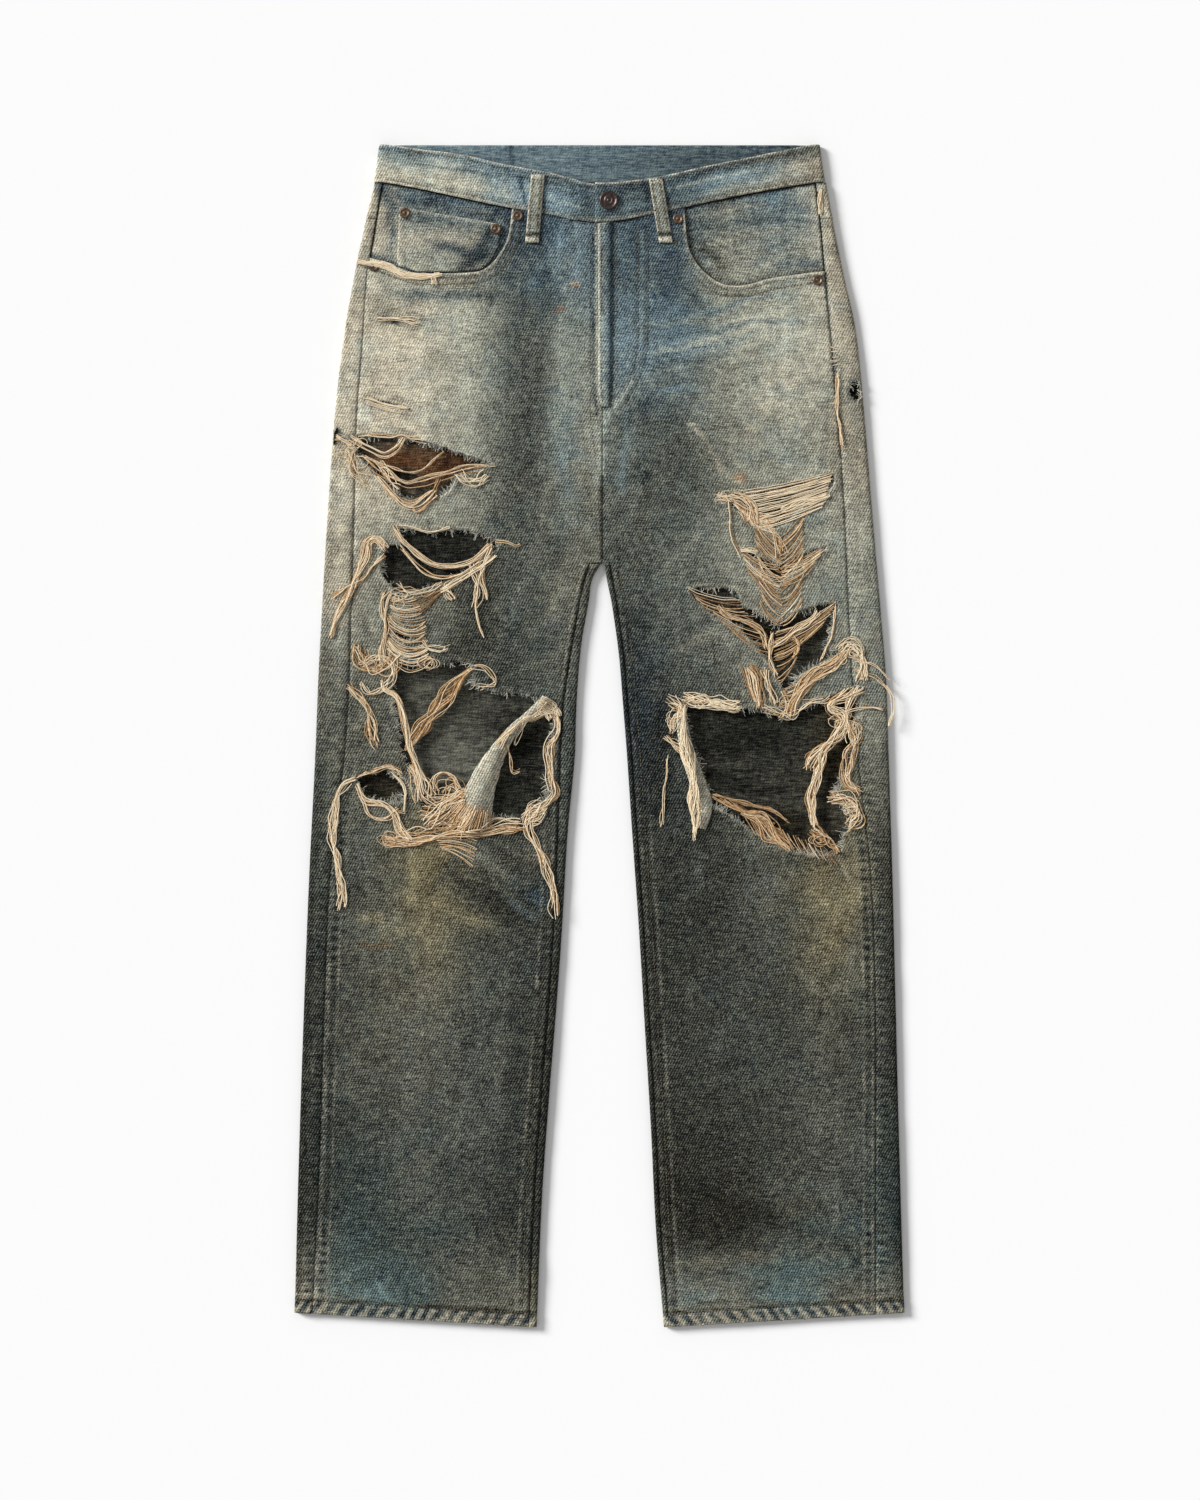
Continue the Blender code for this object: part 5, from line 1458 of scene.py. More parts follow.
def coin_pocket(name):
    """Small pocket on the right facing, tucked under the opening's edge at its foot."""
    flat, tris = fill_outline(spaced(COIN, 1.8, True), [], 1.9)
    x, y = flat.T
    top, drop = COIN[0], COIN[-1]
    below = (top[1] + (drop[1] - top[1]) * (x - top[0]) / (drop[0] - top[0])) - y
    z = cover(x, y) - 0.1 + 0.35 * bell(below - 4, 3.0) + 0.3 * noise(x, y, 12, 99)
    stitched = 0.5 + 0.5 * np.sign(np.sin(x / 1.5))
    side = np.abs(x + 187)
    colours = painted(
        face_colours(-1, x, y), (0.7 * bell(below, 1.8), "w74"),
        (0.6 * bell(below - 6.5, 1.1) * stitched, "g22"),
        (0.6 * bell(below - 11.0, 1.1) * stitched, "g22"),
        (0.6 * bell(side, 2.0), "w72"), (0.5 * bell(side - 6, 1.4), "g30"))
    for row in COIN_STROKES:
        colours = blend(colours, row.strength * weight(row, x, y), row.tone)
    return cloth(name, np.stack([x, y, z], 1), tris, colours, inner_colours(x, y))


def fly_edge(name):
    """Folded edge of the fly, on top of the centre front."""
    outline = spaced([(-1.5, 476.5), (-1.0, 400), (-1.0, 320), (1.5, 306), (8.6, 306),
                      (10.6, 330), (10.8, 400), (10.8, 478)], 1.5, True)
    flat, tris = fill_outline(outline, [], 1.7)
    x, y = flat.T
    z = cover(x, y) + 1.9 + 0.4 * noise(x, y, 9, 101) + 0.25 * np.sin(y / 2.2)
    z -= 0.7 * bell(np.abs(x - 4.7) - 5.6, 1.4)
    # the dark strip down its right side is painted shade
    colours = painted(
        face_colours(1, x, y),
        (0.7 * bell(x - 3.5, 3.2) * (0.7 + 0.5 * noise(x, y, 9, 102)), "g62"),
        (0.85 * bell(x + 0.6, 1.3), "c76"), (0.5 * bell(x - 9.8, 1.4), "i24"))
    return cloth(name, np.stack([x, y, z], 1), tris, colours, inner_colours(x, y))


def belt_loop(name, x_top, x_foot, y_top, y_foot, y_step):
    """A loop over the waistband, stepping down to the panel at its foot."""
    face = BAND_FACE + 0.4
    profile = [(y_top, face), (y_top + 0.12 * (y_step - y_top), face + 0.7),
               ((y_top + y_step) / 2, face + 1.2), (y_step, face + 0.7), (y_step - 6, LIE + 0.9),
               (y_foot + 4, LIE + 0.7), (y_foot, LIE + 0.6)]
    side = np.linspace(-LOOP_HALF, LOOP_HALF, 9)
    edge = bell(np.abs(side) - 4.5, 0.9)
    rows = []
    for y, z in spaced(curved(profile, 0.8), 1.3):
        x = x_top + (x_foot - x_top) * (y - y_top) / (y_foot - y_top)
        rows.append(np.stack([
            x + side, np.full(9, y), z + 1.3 + 0.25 * (1 - (side / LOOP_HALF)**2) - 0.35 * edge
            + 0.12 * np.sin(y / 1.3)], 1))
    grid = np.array(rows)
    x, y = grid.reshape(-1, 3)[:, :2].T
    u = np.tile(side, len(rows))
    colours = painted(
        np.tile(tone("m52"), (len(x), 1)), (0.7 * bell(np.abs(u) - 5.9, 0.9), "c78"),
        (0.6 * bell(np.abs(u) - 4.0, 0.9), "g22"),
        (0.45 * bell(u, 1.4) * (0.5 + 0.5 * noise(x, y, 8, 103)), "b50"),
        (0.9 * bell(y - y_foot - 3.5, 2.2), "c84"), (0.85 * bell(y - y_foot - 8.0, 1.8), "g16"),
        (0.6 * bell(y - y_top + 2, 2.0), "c80"))
    return grid_cloth(name, grid, mottled(colours, x, y), colours, wall=1.1)


def plate(name, outline, shade):
    """A flat piece under the garment."""
    flat, tris = fill_outline(spaced(outline, 3.0, True), [], 3.2)
    x, y = flat.T
    colours = blend(back_colours(1 if x.mean() > 0 else -1, x, y), np.full(len(x), 0.4), shade)
    return cloth(name, np.stack([x, y, np.full(len(x), UNDER_FACE)], 1), tris, colours, colours,
                 wall=UNDER_WALL)


def flap(node, name):
    """A torn tongue of the knee's cloth, curled along its length, its reverse outwards."""
    line = curved(FLAPS[node], 1.8)
    side = np.linspace(-1, 1, 15)
    bow = np.cos(side * math.pi / 2)
    rows = []
    for index, ((x, y, half), (nx, ny)) in enumerate(zip(line, normals_2d(line[:, :2]))):
        width = half * side * (1 + 0.07 * noise(np.full(15, index * 1.8), side * 3, 5, 111))
        rows.append(np.stack([
            x + nx * width, y + ny * width,
            float(cover(x, y)) + FLAP_LIFT + FLAP_BOW * half * bow
            + 0.5 * noise(width + x, width * 0 + y, 5, 112)], 1))
    grid = np.array(rows)
    x, y = grid.reshape(-1, 3)[:, :2].T
    u = np.tile(side, len(rows))
    colours = painted(
        np.tile(tone("w62"), (len(x), 1)), (0.6 * bell(np.abs(u) - 1, 0.22), "c76"),
        # the dark stripe right of the tongue's middle is painted shade
        (0.5 * bell(u - 0.3, 0.2) * (0.5 + 0.5 * noise(x, y, 14, 113)), "m32"),
        (0.4 * (0.5 + 0.5 * noise(x, y, 6, 114)), "g60"))
    return grid_cloth(name, grid, mottled(colours, x, y, 0.4), colours, wall=1.3)


# ---- frayed yarns ----

FLAPS = {
    "flap_right": [(-50, 35, 4), (-66, 19, 4), (-80, 6, 5), (-94, -14, 8), (-106, -38, 12),
                   (-113, -58, 15), (-116, -70, 16.5), (-118, -78, 13), (-119, -83, 6)],
    "flap_left": [(77, 30, 3), (77, 12, 5), (80, -8, 6), (86, -28, 7), (93, -48, 7.5),
                  (98, -66, 7), (94, -86, 5)]}
# count, spread, wave, tint from soiled to white, route of the middle, and shape
BUNDLES = {
    -1: rows_of(Bundle,
        # upper thigh
        (7, 4, 0, 0.75, [(-232, 278), (-215, 270), (-199.5, 261), (-187, 266), (-181, 277)]),
        (4, 2, 0, 0.60, [(-221, 261), (-199.5, 251), (-181, 245.5), (-167, 247), (-145.5, 265)]),
        (7, 2.5, 0, 0.62, [(-218, 258.5), (-185.5, 238), (-171.6, 235.3), (-134.4, 247.4),
            (-97.2, 251)]),
        (11, 5, 0, 0.60, [(-208.8, 242.7), (-185.5, 219.5), (-171.6, 215.8),
            (-153, 228.8)], "leaf"),
        (2, 1, 0, 0.50, [(-174.4, 214.8), (-168.8, 208.3), (-151, 224)]),
        (7, 5, 4, 0.65, [(-230, 266), (-229, 248), (-222, 240), (-215, 232)], "fan"),
        (7, 3, 3, 1.00, [(-130, 245), (-122, 236), (-112, 236), (-104, 243)]),
        (4, 1.5, 1, 0.25, [(-151, 240), (-156, 221)]),
        (7, 3, 2, 0.85, [(-245, 278), (-238, 275), (-230, 269)]),
        (3, 2, 3, 0.95, [(-226, 279), (-204, 281), (-184, 279), (-160, 273)]),
        (5, 5, 4, 0.80, [(-206, 254), (-196, 240), (-184, 232)], "fan"),
        # middle thigh
        (5, 2, 0, 0.85, [(-185.5, 196), (-162, 190), (-139, 193.4)]),
        (7, 2.4, 0, 0.68, [(-191, 196), (-181, 177.6), (-157.6, 161.8), (-139, 156.2),
            (-120.4, 161.8), (-97, 179.5)]),
        (6, 1.8, 0, 0.62, [(-185.5, 177.6), (-162.3, 152.5), (-143.7, 147), (-125, 152.5),
            (-106.5, 165.5)]),
        (5, 1.8, 1, 0.66, [(-100, 177.6), (-104.6, 163.7), (-107.4, 145), (-104.6, 126.5)]),
        (3, 1.5, 1, 0.60, [(-101.8, 173), (-113, 135.8), (-114.9, 115.3), (-107.4, 92)]),
        (2, 0.8, 0, 0.75, [(-96.3, 181.4), (-85.1, 179.5), (-76.7, 175.8), (-73, 177.6)]),
        (20, 4.2, 0, 0.68, [(-196.7, 174.8), (-207, 184), (-215.3, 179.5), (-217, 167.4),
            (-222.7, 154.4), (-232, 133.9), (-243, 112.5), (-250.6, 91)], "tail"),
        (5, 2, 1, 0.55, [(-199.5, 168), (-211.6, 158), (-221, 145), (-236.7, 135.8),
            (-250.6, 128)]),
        (9, 3, 1, 1.00, [(-148.3, 135.8), (-129.7, 145), (-111, 157.2), (-98, 170)]),
        (8, 3, 3, 0.90, [(-143.7, 140), (-140, 133), (-136, 127)], "fan"),
        (4, 3, 3, 0.85, [(-118, 160), (-112, 140), (-116, 118)], "fan"),
        # ladder
        (7, 3.2, 1, 0.66, [(-196, 134), (-200, 125), (-199, 100), (-203, 80), (-200, 66)]),
        (8, 5, 5, 0.62, [(-224.6, 84.6), (-222, 70), (-211, 62), (-196, 64), (-192, 76)]),
        (5, 4, 4, 0.80, [(-190, 140), (-176, 132), (-160, 136), (-148, 144)]),
        (5, 3, 3, 0.85, [(-166, 86), (-150, 80), (-140, 84)], "fan"),
        # beside the right knee
        (14, 4.5, 0, 0.70, [(-203, 52), (-199.5, 42.8), (-187.4, 33.5), (-179, 5.6),
            (-174.4, -17.7), (-162.3, -50.2), (-150.2, -64.2)], "fan"),
        (10, 10, 2, 0.70, [(-176, -28), (-168, -44), (-160, -60)], "fan"),
        (9, 4, 2, 0.72, [(-233.9, 47.4), (-224.6, 38), (-217, 28.8), (-211.6, 5.6),
            (-204, -10.2)], "fan"),
        (5, 3, 3, 0.85, [(-222, 66), (-205, 72), (-192, 62), (-196, 46), (-212, 40), (-222, 50)]),
        (24, 5.5, 0, 0.42, [(-118.6, 63), (-134.4, 47.4), (-155.8, 19.5), (-180.9, -13)], "leaf"),
        (3, 2, 3, 0.80, [(-120, 64), (-104, 60), (-98, 50), (-112, 44)]),
        # right knee
        (16, 5, 3, 0.98, [(-54, 33), (-47, 27), (-41.4, 18)]),
        (9, 3.2, 1, 0.85, [(-46, 28), (-60, 17), (-70, 15), (-84, 4), (-95, -9)]),
        (9, 6, 4, 0.70, [(-150, -52), (-146, -42), (-136, -40), (-127, -50)]),
        (14, 8, 5, 0.62, [(-126, -54), (-140, -62), (-150, -70), (-164, -80)], "fan"),
        (8, 4, 4, 0.55, [(-120, -74), (-124, -82), (-134, -90)], "fan"),
        (2, 1, 2, 0.90, [(-69.3, 13), (-74, 2.8), (-78.6, -8.4)]),
        (2, 1, 2, 0.60, [(-85, -8), (-84, -25), (-80, -34), (-74, -32)]),
        (9, 3, 2, 0.70, [(-44, 28.8), (-38.6, 5.6), (-46, -13), (-46, -36.3), (-40.5, -52),
            (-47.9, -61.4), (-61.8, -73.5), (-64.6, -89.3), (-50.7, -115.3), (-43.2, -143.2),
            (-39.5, -169.3)]), (12, 6, 6, 0.85, [(-52, -66), (-60, -72), (-68, -78)]),
        (15, 3.2, 1, 0.44, [(-202.3, -96.7), (-176.2, -99.5), (-139, -92), (-101.8, -89.3),
            (-69.3, -85.6)]), (5, 3, 4, 0.60, [(-190, -88), (-160, -90), (-130, -84)]),
        (4, 2, 3, 0.88, [(-110, -84), (-92, -78), (-74, -80)]),
        # the hole at the side, and what hangs from it
        (11, 3, 2, 0.74, [(-227.4, -39), (-237.6, -45.6), (-244, -59.5), (-247.8, -87.4),
            (-245, -115.3), (-239.5, -143.2), (-241.3, -163.7)]),
        (11, 2.6, 1, 0.70, [(-227, -45.6), (-218, -59.5), (-204, -62.3), (-193, -70.7),
            (-185.5, -87.4), (-174.4, -98.6)]),
        (5, 1.8, 1, 0.66, [(-222.7, -55), (-211.6, -73.5), (-196.7, -76.3), (-187.4, -67)]),
        (3, 1.4, 1, 0.60, [(-218, -59.5), (-200, -66), (-181, -71)]),
        (4, 1.6, 1, 0.98, [(-193, -33.5), (-182.8, -45.6), (-181, -59.5), (-182, -71)]),
        (5, 2, 2, 0.75, [(-225, -37), (-210, -32), (-196, -30), (-184, -36)]),
        # worn-through edge of the right pocket
        (30, 2.4, 1, 0.98, [(-224, 441), (-200, 437), (-180, 429), (-160, 427),
            (-146, 429)], "leaf"), (5, 3, 3, 1.00, [(-156, 428), (-152, 421)], "fan"),
        (5, 2.5, 2, 0.95, [(-206, 389), (-190, 388), (-169, 384)]),
        (5, 1.6, 1, 0.88, [(-214, 313), (-197, 308), (-177, 304)])),
    1: rows_of(Bundle,
        # upper thigh
        (13, 4, 1, 0.55, [(124, 226), (140, 214.8), (146.5, 198)]),
        (9, 2.2, 1, 0.98, [(170, 209), (190, 217), (214, 224)]),
        (9, 3, 4, 0.85, [(110, 224), (116, 222), (124, 221)]),
        (2, 0.7, 1, 0.60, [(120.4, 221), (122.3, 191.6), (132.5, 163.7)]),
        (2, 0.7, 0, 0.55, [(130.7, 212), (135.3, 199), (140.9, 201.8)]),
        # column
        (7, 3, 3, 0.75, [(146, 204), (158, 194), (166, 182), (170, 168)]),
        (6, 2, 2, 1.00, [(130.7, 172), (146, 170)]),
        # third rip
        (7, 2.6, 1, 0.50, [(112, 122), (119.5, 112.5), (149.3, 98.6), (156.7, 80)]),
        (6, 2.0, 1, 0.58, [(204, 118), (198.6, 110.7), (178, 94), (158.6, 81.8)]),
        (5, 3, 2, 0.62, [(177, 94), (184, 86), (181, 72)]),
        (2, 0.8, 1, 0.80, [(220, 122.8), (216, 94), (205, 68.8)]),
        (4, 2.4, 2, 0.62, [(160, 96), (160, 76), (164, 56)]),
        (14, 4.4, 1, 0.56, [(229, 78), (214, 66), (197, 55), (184, 40), (174, 19)]),
        (11, 4, 2, 0.55, [(138, 64), (146, 54), (150, 40), (149, 26)]),
        (5, 3, 2, 0.58, [(152, 62), (157, 48), (160, 30)]),
        (3, 1.5, 1, 0.70, [(170.7, 42.8), (174.4, 28.8), (167.9, 16.7)]),
        # left knee
        (16, 4, 4, 0.80, [(79, 36), (95, 33), (112, 29), (130, 30)]),
        (16, 4.5, 1, 0.92, [(80, 28), (78, 5), (82, -20), (88, -50), (88, -75),
            (89, -97)], "leaf"), (8, 3, 4, 0.85, [(64, 33), (76, 26), (70, 14), (66, 4)]),
        (6, 2.5, 2, 0.85, [(62, 0), (70, -6), (78, -14)]),
        (2, 0.8, 2, 0.75, [(63.7, -17.7), (60.9, -50), (57.2, -84.6)]),
        (5, 1.5, 1, 0.48, [(104.6, -54.9), (126, -59.5), (158.6, -68.8), (176, -80)]),
        (18, 7, 1, 0.32, [(132.5, -70.7), (154, -82.8), (177, -106)], "leaf"),
        (4, 3, 4, 0.80, [(150, 24), (176, 20), (196, 32), (214, 38)]),
        # side of the left knee
        (11, 5, 3, 0.80, [(224, 78), (232, 84), (240, 78), (244, 66), (244, 50)]),
        (2, 1, 1, 0.75, [(238, 70), (258, 64), (270, 52)]),
        (2, 1, 1, 0.75, [(236, 62), (256, 54), (269, 42)]),
        (2, 1.4, 2, 0.80, [(266, 46), (273, 33.5), (268.3, 10.2)]),
        (16, 4.2, 2, 0.62, [(235.8, 42.8), (214.4, 28.8), (225.5, 16.7), (221.8, 1),
            (197.6, -20.5), (193.9, -31.6)]),
        (9, 3.5, 2, 0.68, [(245, 45), (232, 30), (230, 10), (238, -8)]),
        (3, 1.5, 1, 0.80, [(228.3, 22.3), (246, 27), (263.7, 26)]),
        (11, 4, 2, 0.66, [(233, 13), (238.5, -3.7), (228.3, -39), (244, -52)]),
        (16, 4, 1, 0.68, [(210, -10), (205, -27), (198.6, -50.2), (197.6, -73.5), (200.4, -87.4)]),
        (12, 5, 5, 0.68, [(214, -58), (226, -60), (238, -64), (242, -76), (230, -84)]),
        (10, 4, 2, 0.40, [(198, -86), (210, -96), (222, -108)]),
        # outer seam
        (5, 1.4, 1, 0.62, [(220, 340), (221.5, 310), (223, 288), (225, 266)]),
        (6, 1.6, 2, 0.95, [(207, 508), (206, 498), (206, 486)]))}
STACKS = {
    -1: rows_of(Stack,
        (15, (-196, 134), (-193, 112), (-172, 131), (-164, 112), 3, 0.74),
        (9, (-176, 128), (-170, 110), (-144, 136), (-146, 134), 1, 0.30),
        (26, (-196, 114), (-196, 82), (-162, 108), (-160, 74), 8, 0.74),
        (15, (-200, 96), (-196, 72), (-162, 88), (-156, 68), 9, 0.78),
        (14, (-152, -95), (-146, -106), (-114, -96), (-118, -123), -3, 0.72),
        (6, (-219, 315), (-214, 309), (-180, 306), (-186, 301), 1, 0.86),
        (40, (-133, -60), (-101, -70), (-160, -82), (-103, -89), 2, 0.50),
        (30, (-131, -64), (-101, -74), (-146, -88), (-100, -87), -2, 0.66),
        (14, (-126, -48), (-133, -58), (-160, -52), (-168, -76), 6, 0.74)),
    1: rows_of(Stack,
        (48, (217, 246), (208, 213), (130, 227), (152, 192), 2, 0.84),
        (22, (120, 222), (134, 204), (158, 206), (166, 186), 4, 0.60),
        (40, (144, 206), (150, 122), (169, 180), (170, 102), 4, 0.42),
        (40, (190, 208), (188, 124), (168, 184), (170, 102), 4, 0.48),
        (22, (211, 179), (198, 158), (170, 162), (170, 138), 4, 0.64),
        (18, (131, 176), (138, 154), (167, 158), (168, 130), 4, 0.56),
        (10, (83, 138), (94, 122), (128, 128), (142, 108), 4, 0.56),
        (11, (102, 118), (126, 96), (152, 98), (162, 72), 4, 0.40),
        (18, (220, 124), (206, 102), (164, 98), (162, 70), 4, 0.50),
        (12, (190, 92), (182, 68), (164, 76), (167, 48), 4, 0.40),
        (16, (228, 80), (198, 52), (172, 44), (174, 16), 4, 0.50),
        (12, (132, 66), (146, 56), (142, 34), (152, 26), 2, 0.66),
        (28, (132, -70), (215, -108), (146, -92), (222, -120), 1, 0.36),
        (18, (104, -56), (130, -64), (156, -76), (182, -100), 2, 0.36),
        (7, (214, 362), (216, 344), (222, 362), (222, 346), 0, 0.80))}
TANGLES = {
    -1: [(-232, 262, 10, 0.7), (-208, 70, 10, 0.6), (-196, -94, 9, 0.7), (-59, -72, 9, 0.9),
         (-48, 26, 7, 1.0), (-226, 272, 8, 0.9), (-186, 128, 9, 0.8), (-160, 70, 8, 0.7)],
    1: [(116, 223, 7, 0.9), (232, 76, 12, 0.85), (232, -70, 11, 0.85), (226, 10, 14, 0.75),
        (92, 33, 9, 0.85), (70, 14, 9, 0.9), (172, 30, 8, 0.6), (203, -96, 9, 0.6)]}


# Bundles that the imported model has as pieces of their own
THREAD_NODES = ["threads_" + name for name in (
    "thigh_right", "arc_right", "arch_right", "ladder_right", "fall_right", "tassel_right",
    "leaf_right", "inner_right", "knee_right", "lobe_right", "side_right", "loop_right",
    "thigh_left", "column_left", "vee_left", "band_left", "tassel_left", "knot_left", "side_left",
    "spread_left", "knee_left", "corner_left")]


def tongue_height(x, y):
    """How far the torn tongues stand over the cloth."""
    z = np.zeros(len(x))
    for route in FLAPS.values():
        line = curved(route, 3.0)
        for px, py, half in line:
            share = np.clip(np.hypot(x - px, y - py) / half, 0, 1)
            bow = 3.6 + FLAP_BOW * half * np.cos(share * math.pi / 2)
            z = np.maximum(z, np.where(share < 1, bow, 0))
    return z


def laid(points, lift, waver, seed):
    """A yarn's points at the height of the cloth, lifting and dipping a little."""
    x, y = points[:, 0], points[:, 1]
    at = np.arange(len(points)) * YARN_STEP
    z = cover(x, y) + tongue_height(x, y) + lift + waver * noise(at, 0, 12, seed)
    return np.stack([x, y, np.maximum(z, 1.6)], 1)


def yarn_radius():
    return thread_settings().yarn / MM / 2


def bundle_lines(row, rng):
    """The yarns of a bundle, winding round each other along its route."""
    middle = curved(row.route, YARN_STEP)
    side = normals_2d(middle)
    run = len(middle) * YARN_STEP
    radius = yarn_radius()
    lines, strands = [], max(1, round(row.count / 3.5))
    lanes = (np.arange(strands) + 0.5) / strands * 2 - 1
    phases, twists = rng.uniform(0, 2 * math.pi, strands), rng.uniform(0.6, 1.5, strands)
    for k in range(int(row.count * 1.45 + 0.5)):
        first = int(rng.uniform(0, 0.08) * len(middle))
        last = len(middle) - int(rng.uniform(0, 0.2 if row.shape == "fan" else 0.1) * len(middle))
        t = np.linspace(0, 1, len(middle))
        profile = {"even": 1 + 0 * t, "fan": 0.3 + 0.9 * t**1.3, "tail": 1.1 - 0.75 * t,
                   "leaf": 0.12 + np.sin(math.pi * t)**0.8}[row.shape]
        stray, high, of = rng.uniform() < 0.12, rng.uniform(), k % strands
        lane = lanes[of] + rng.normal(0, 0.7 if stray else 0.22)
        swing = np.sin(phases[of] + rng.normal(0, 0.35) + twists[of] * run / 60 * 2 * math.pi * t)
        off = row.spread * 1.15 * profile * (0.7 * lane + 0.42 * swing)
        at = t * run
        seed = int(rng.integers(1000))
        off += 0.6 * noise(at, 0, 9, seed) + row.wave * noise(at, 0, 16, seed + 1)
        line = middle + side * off[:, None]
        line += (row.wave * 0.5 + 0.4) * np.stack([
            noise(at, 0, 11, seed + 2), noise(at, 0, 11, seed + 3)], 1)
        line = line[first:last]
        if len(line) > 2:
            # lower yarns get a darker tint: painted shade under the ones above
            lines.append((laid(line, 0.6 + 2.0 * high, 0.5, seed),
                          radius * rng.uniform(0.65, 1.25),
                          row.tint + 0.46 * (high - 0.55) + rng.normal(0, 0.13)))
    return lines


def stack_lines(row, rng):
    """Weft yarns left side by side across a rip."""
    radius = yarn_radius()
    corners = [np.array(p, float) for p in (row.first, row.last, row.first_end, row.last_end)]
    lines = []
    for k in range(row.count):
        t = (k + rng.uniform(-0.4, 0.4)) / max(row.count - 1, 1)
        start = corners[0] + (corners[1] - corners[0]) * t + rng.normal(0, 0.7, 2)
        end = corners[2] + (corners[3] - corners[2]) * t + rng.normal(0, 0.7, 2)
        count = max(4, int(np.hypot(*(end - start)) / YARN_STEP))
        u = np.linspace(0, 1, count)[:, None]
        line = start + (end - start) * u
        at = u[:, 0] * count * YARN_STEP
        seed = int(rng.integers(1000))
        line[:, 1] -= row.sag * rng.uniform(0.5, 1.4) * (4 * u * (1 - u))[:, 0]
        line += 0.5 * np.stack([noise(at, 0, 8, seed), noise(at, 0, 8, seed + 1)], 1)
        high = rng.uniform()
        # lower yarns get a darker tint: painted shade under the ones above
        lines.append((laid(line, 0.3 + 1.3 * high, 0.4, seed), radius * rng.uniform(0.6, 1.1),
                      row.tint + 0.60 * (high - 0.55) + rng.normal(0, 0.13)))
    return lines


def tangle_lines(place, rng):
    """Loose yarn curled up on itself round a point."""
    x, y, size, tint = place
    radius = yarn_radius()
    lines = []
    for k in range(7):
        start, turn = rng.uniform(0, 2 * math.pi), rng.uniform(2.5, 8.0)
        a = np.linspace(start, start + turn * rng.choice([-1, 1]), 26)
        r = size * rng.uniform(0.3, 0.9) * (1 + 0.35 * np.sin(a * rng.uniform(0.6, 1.7)))
        line = np.stack([x + rng.normal(0, size * 0.3) + r * np.cos(a),
                         y + rng.normal(0, size * 0.3) + 0.7 * r * np.sin(a)], 1)
        lines.append((laid(line, 1.2 + rng.uniform(0, 1.6), 0.7, int(rng.integers(1000))),
                      radius * rng.uniform(0.5, 0.9), tint + rng.normal(0, 0.1)))
    return lines


def yarns(s, name):
    """All the loose yarns of a leg."""
    rng = np.random.default_rng(40 + s)
    lines = []
    for row in BUNDLES[s]:
        lines += bundle_lines(row, rng)
    for row in STACKS[s]:
        lines += stack_lines(row, rng)
    for place in TANGLES[s]:
        lines += tangle_lines(place, rng)
    return grown(name, lines, yarn_tree(), Sides=4, Material=cotton_yarn())


def fuzz(s, name):
    """Cut ends of warp and weft yarns along the torn edges."""
    rng = np.random.default_rng(60 + s)
    usual = thread_settings().fuzz / MM
    lines = []
    for index, outline in enumerate(TORN[s] + WRAPPED[s]):
        line = spaced(outline, 0.75, True)
        side = normals_2d(line, True)
        # inwards, whichever way the outline runs
        area = np.sum(line[:, 0] * np.roll(line[:, 1], -1) - np.roll(line[:, 0], -1) * line[:, 1])
        inward = side if area > 0 else -side
        tuft = noise(np.arange(len(line)) * 0.75, np.zeros(len(line)), 6, 200 + index)
        for place, aim, thick in zip(line, inward, tuft):
            if rng.uniform() > 0.74 + 0.4 * thick or s * place[0] > outer[s](place[1]) - 1.5:
                continue
            length = usual * rng.uniform(0.4, 1.5) * (1 + 0.7 * thick)
            lean = rng.normal(0, 0.55)
            way = np.array([aim[0] - lean * aim[1], aim[1] + lean * aim[0]])
            way /= np.hypot(*way)
            bend = rng.normal(0, 0.5)
            t = np.linspace(-0.35, 1, 4)[:, None] * length
            points = place + way * t + np.array([-way[1], way[0]]) * bend * t**2 / length
            z = cover(points[:, 0], points[:, 1]) + 0.35 + 0.5 * noise(t[:, 0], t[:, 0], 3, 7)
            z -= np.clip(t[:, 0], 0, None) * rng.uniform(0, 0.5)
            lines.append((np.stack([points[:, 0], points[:, 1], z], 1), rng.uniform(0.22, 0.42),
                          np.clip(rng.normal(0.62 + 0.2 * thick, 0.25), 0, 1)))
    return grown(name, lines, yarn_tree(), Sides=3, Material=cut_ends())


# ---- stitches and hardware ----

def stitch_routes():
    """Every row of topstitching in sight, each with how much of it is left."""
    routes = []
    for s in (-1, 1):
        edge = curved(POCKETS[s], 3.0)
        routes += [(offset_route(edge, s * 3.2), 0.85), (offset_route(edge, s * 9.4), 0.95)]
        routes.append((hem_route(s, 13.0), 0.95))
        routes.append((leg_route(inseam, s, 150, -536, 7.4, 8), 0.85))
    for end, start in ((-204, -6), (6, 204)):
        x = np.arange(end, start, 3.0)
        low, high = band_low(x), band_top(x)
        routes += [(np.stack([x * (1 - BAND_LEAN * t), low + (high - low) * t], 1), kept)
                   for t, kept in ((0.085, 0.75), (0.915, 0.6))]
    routes += [(J_STITCH, 0.8), (J_OUTER, 0.8),
               ([(1.2, 474), (1.0, 390), (1.2, 316), (4.5, 303)], 0.8),
               ([(15.5, 470), (16.0, 330), (12.0, 306)], 0.7),
               ([(-9.0, 470), (-9.0, 300), (-2, 240), (0, 170)], 0.6)]
    for x_top, x_foot, y_top in ((-57.2, -62.8, 520.0), (52.1, 61.8, 516.0)):
        for u in (-3.4, 3.4):
            routes.append(([(x_top + u, y_top), (x_foot + u, 462)], 0.8))
    return routes


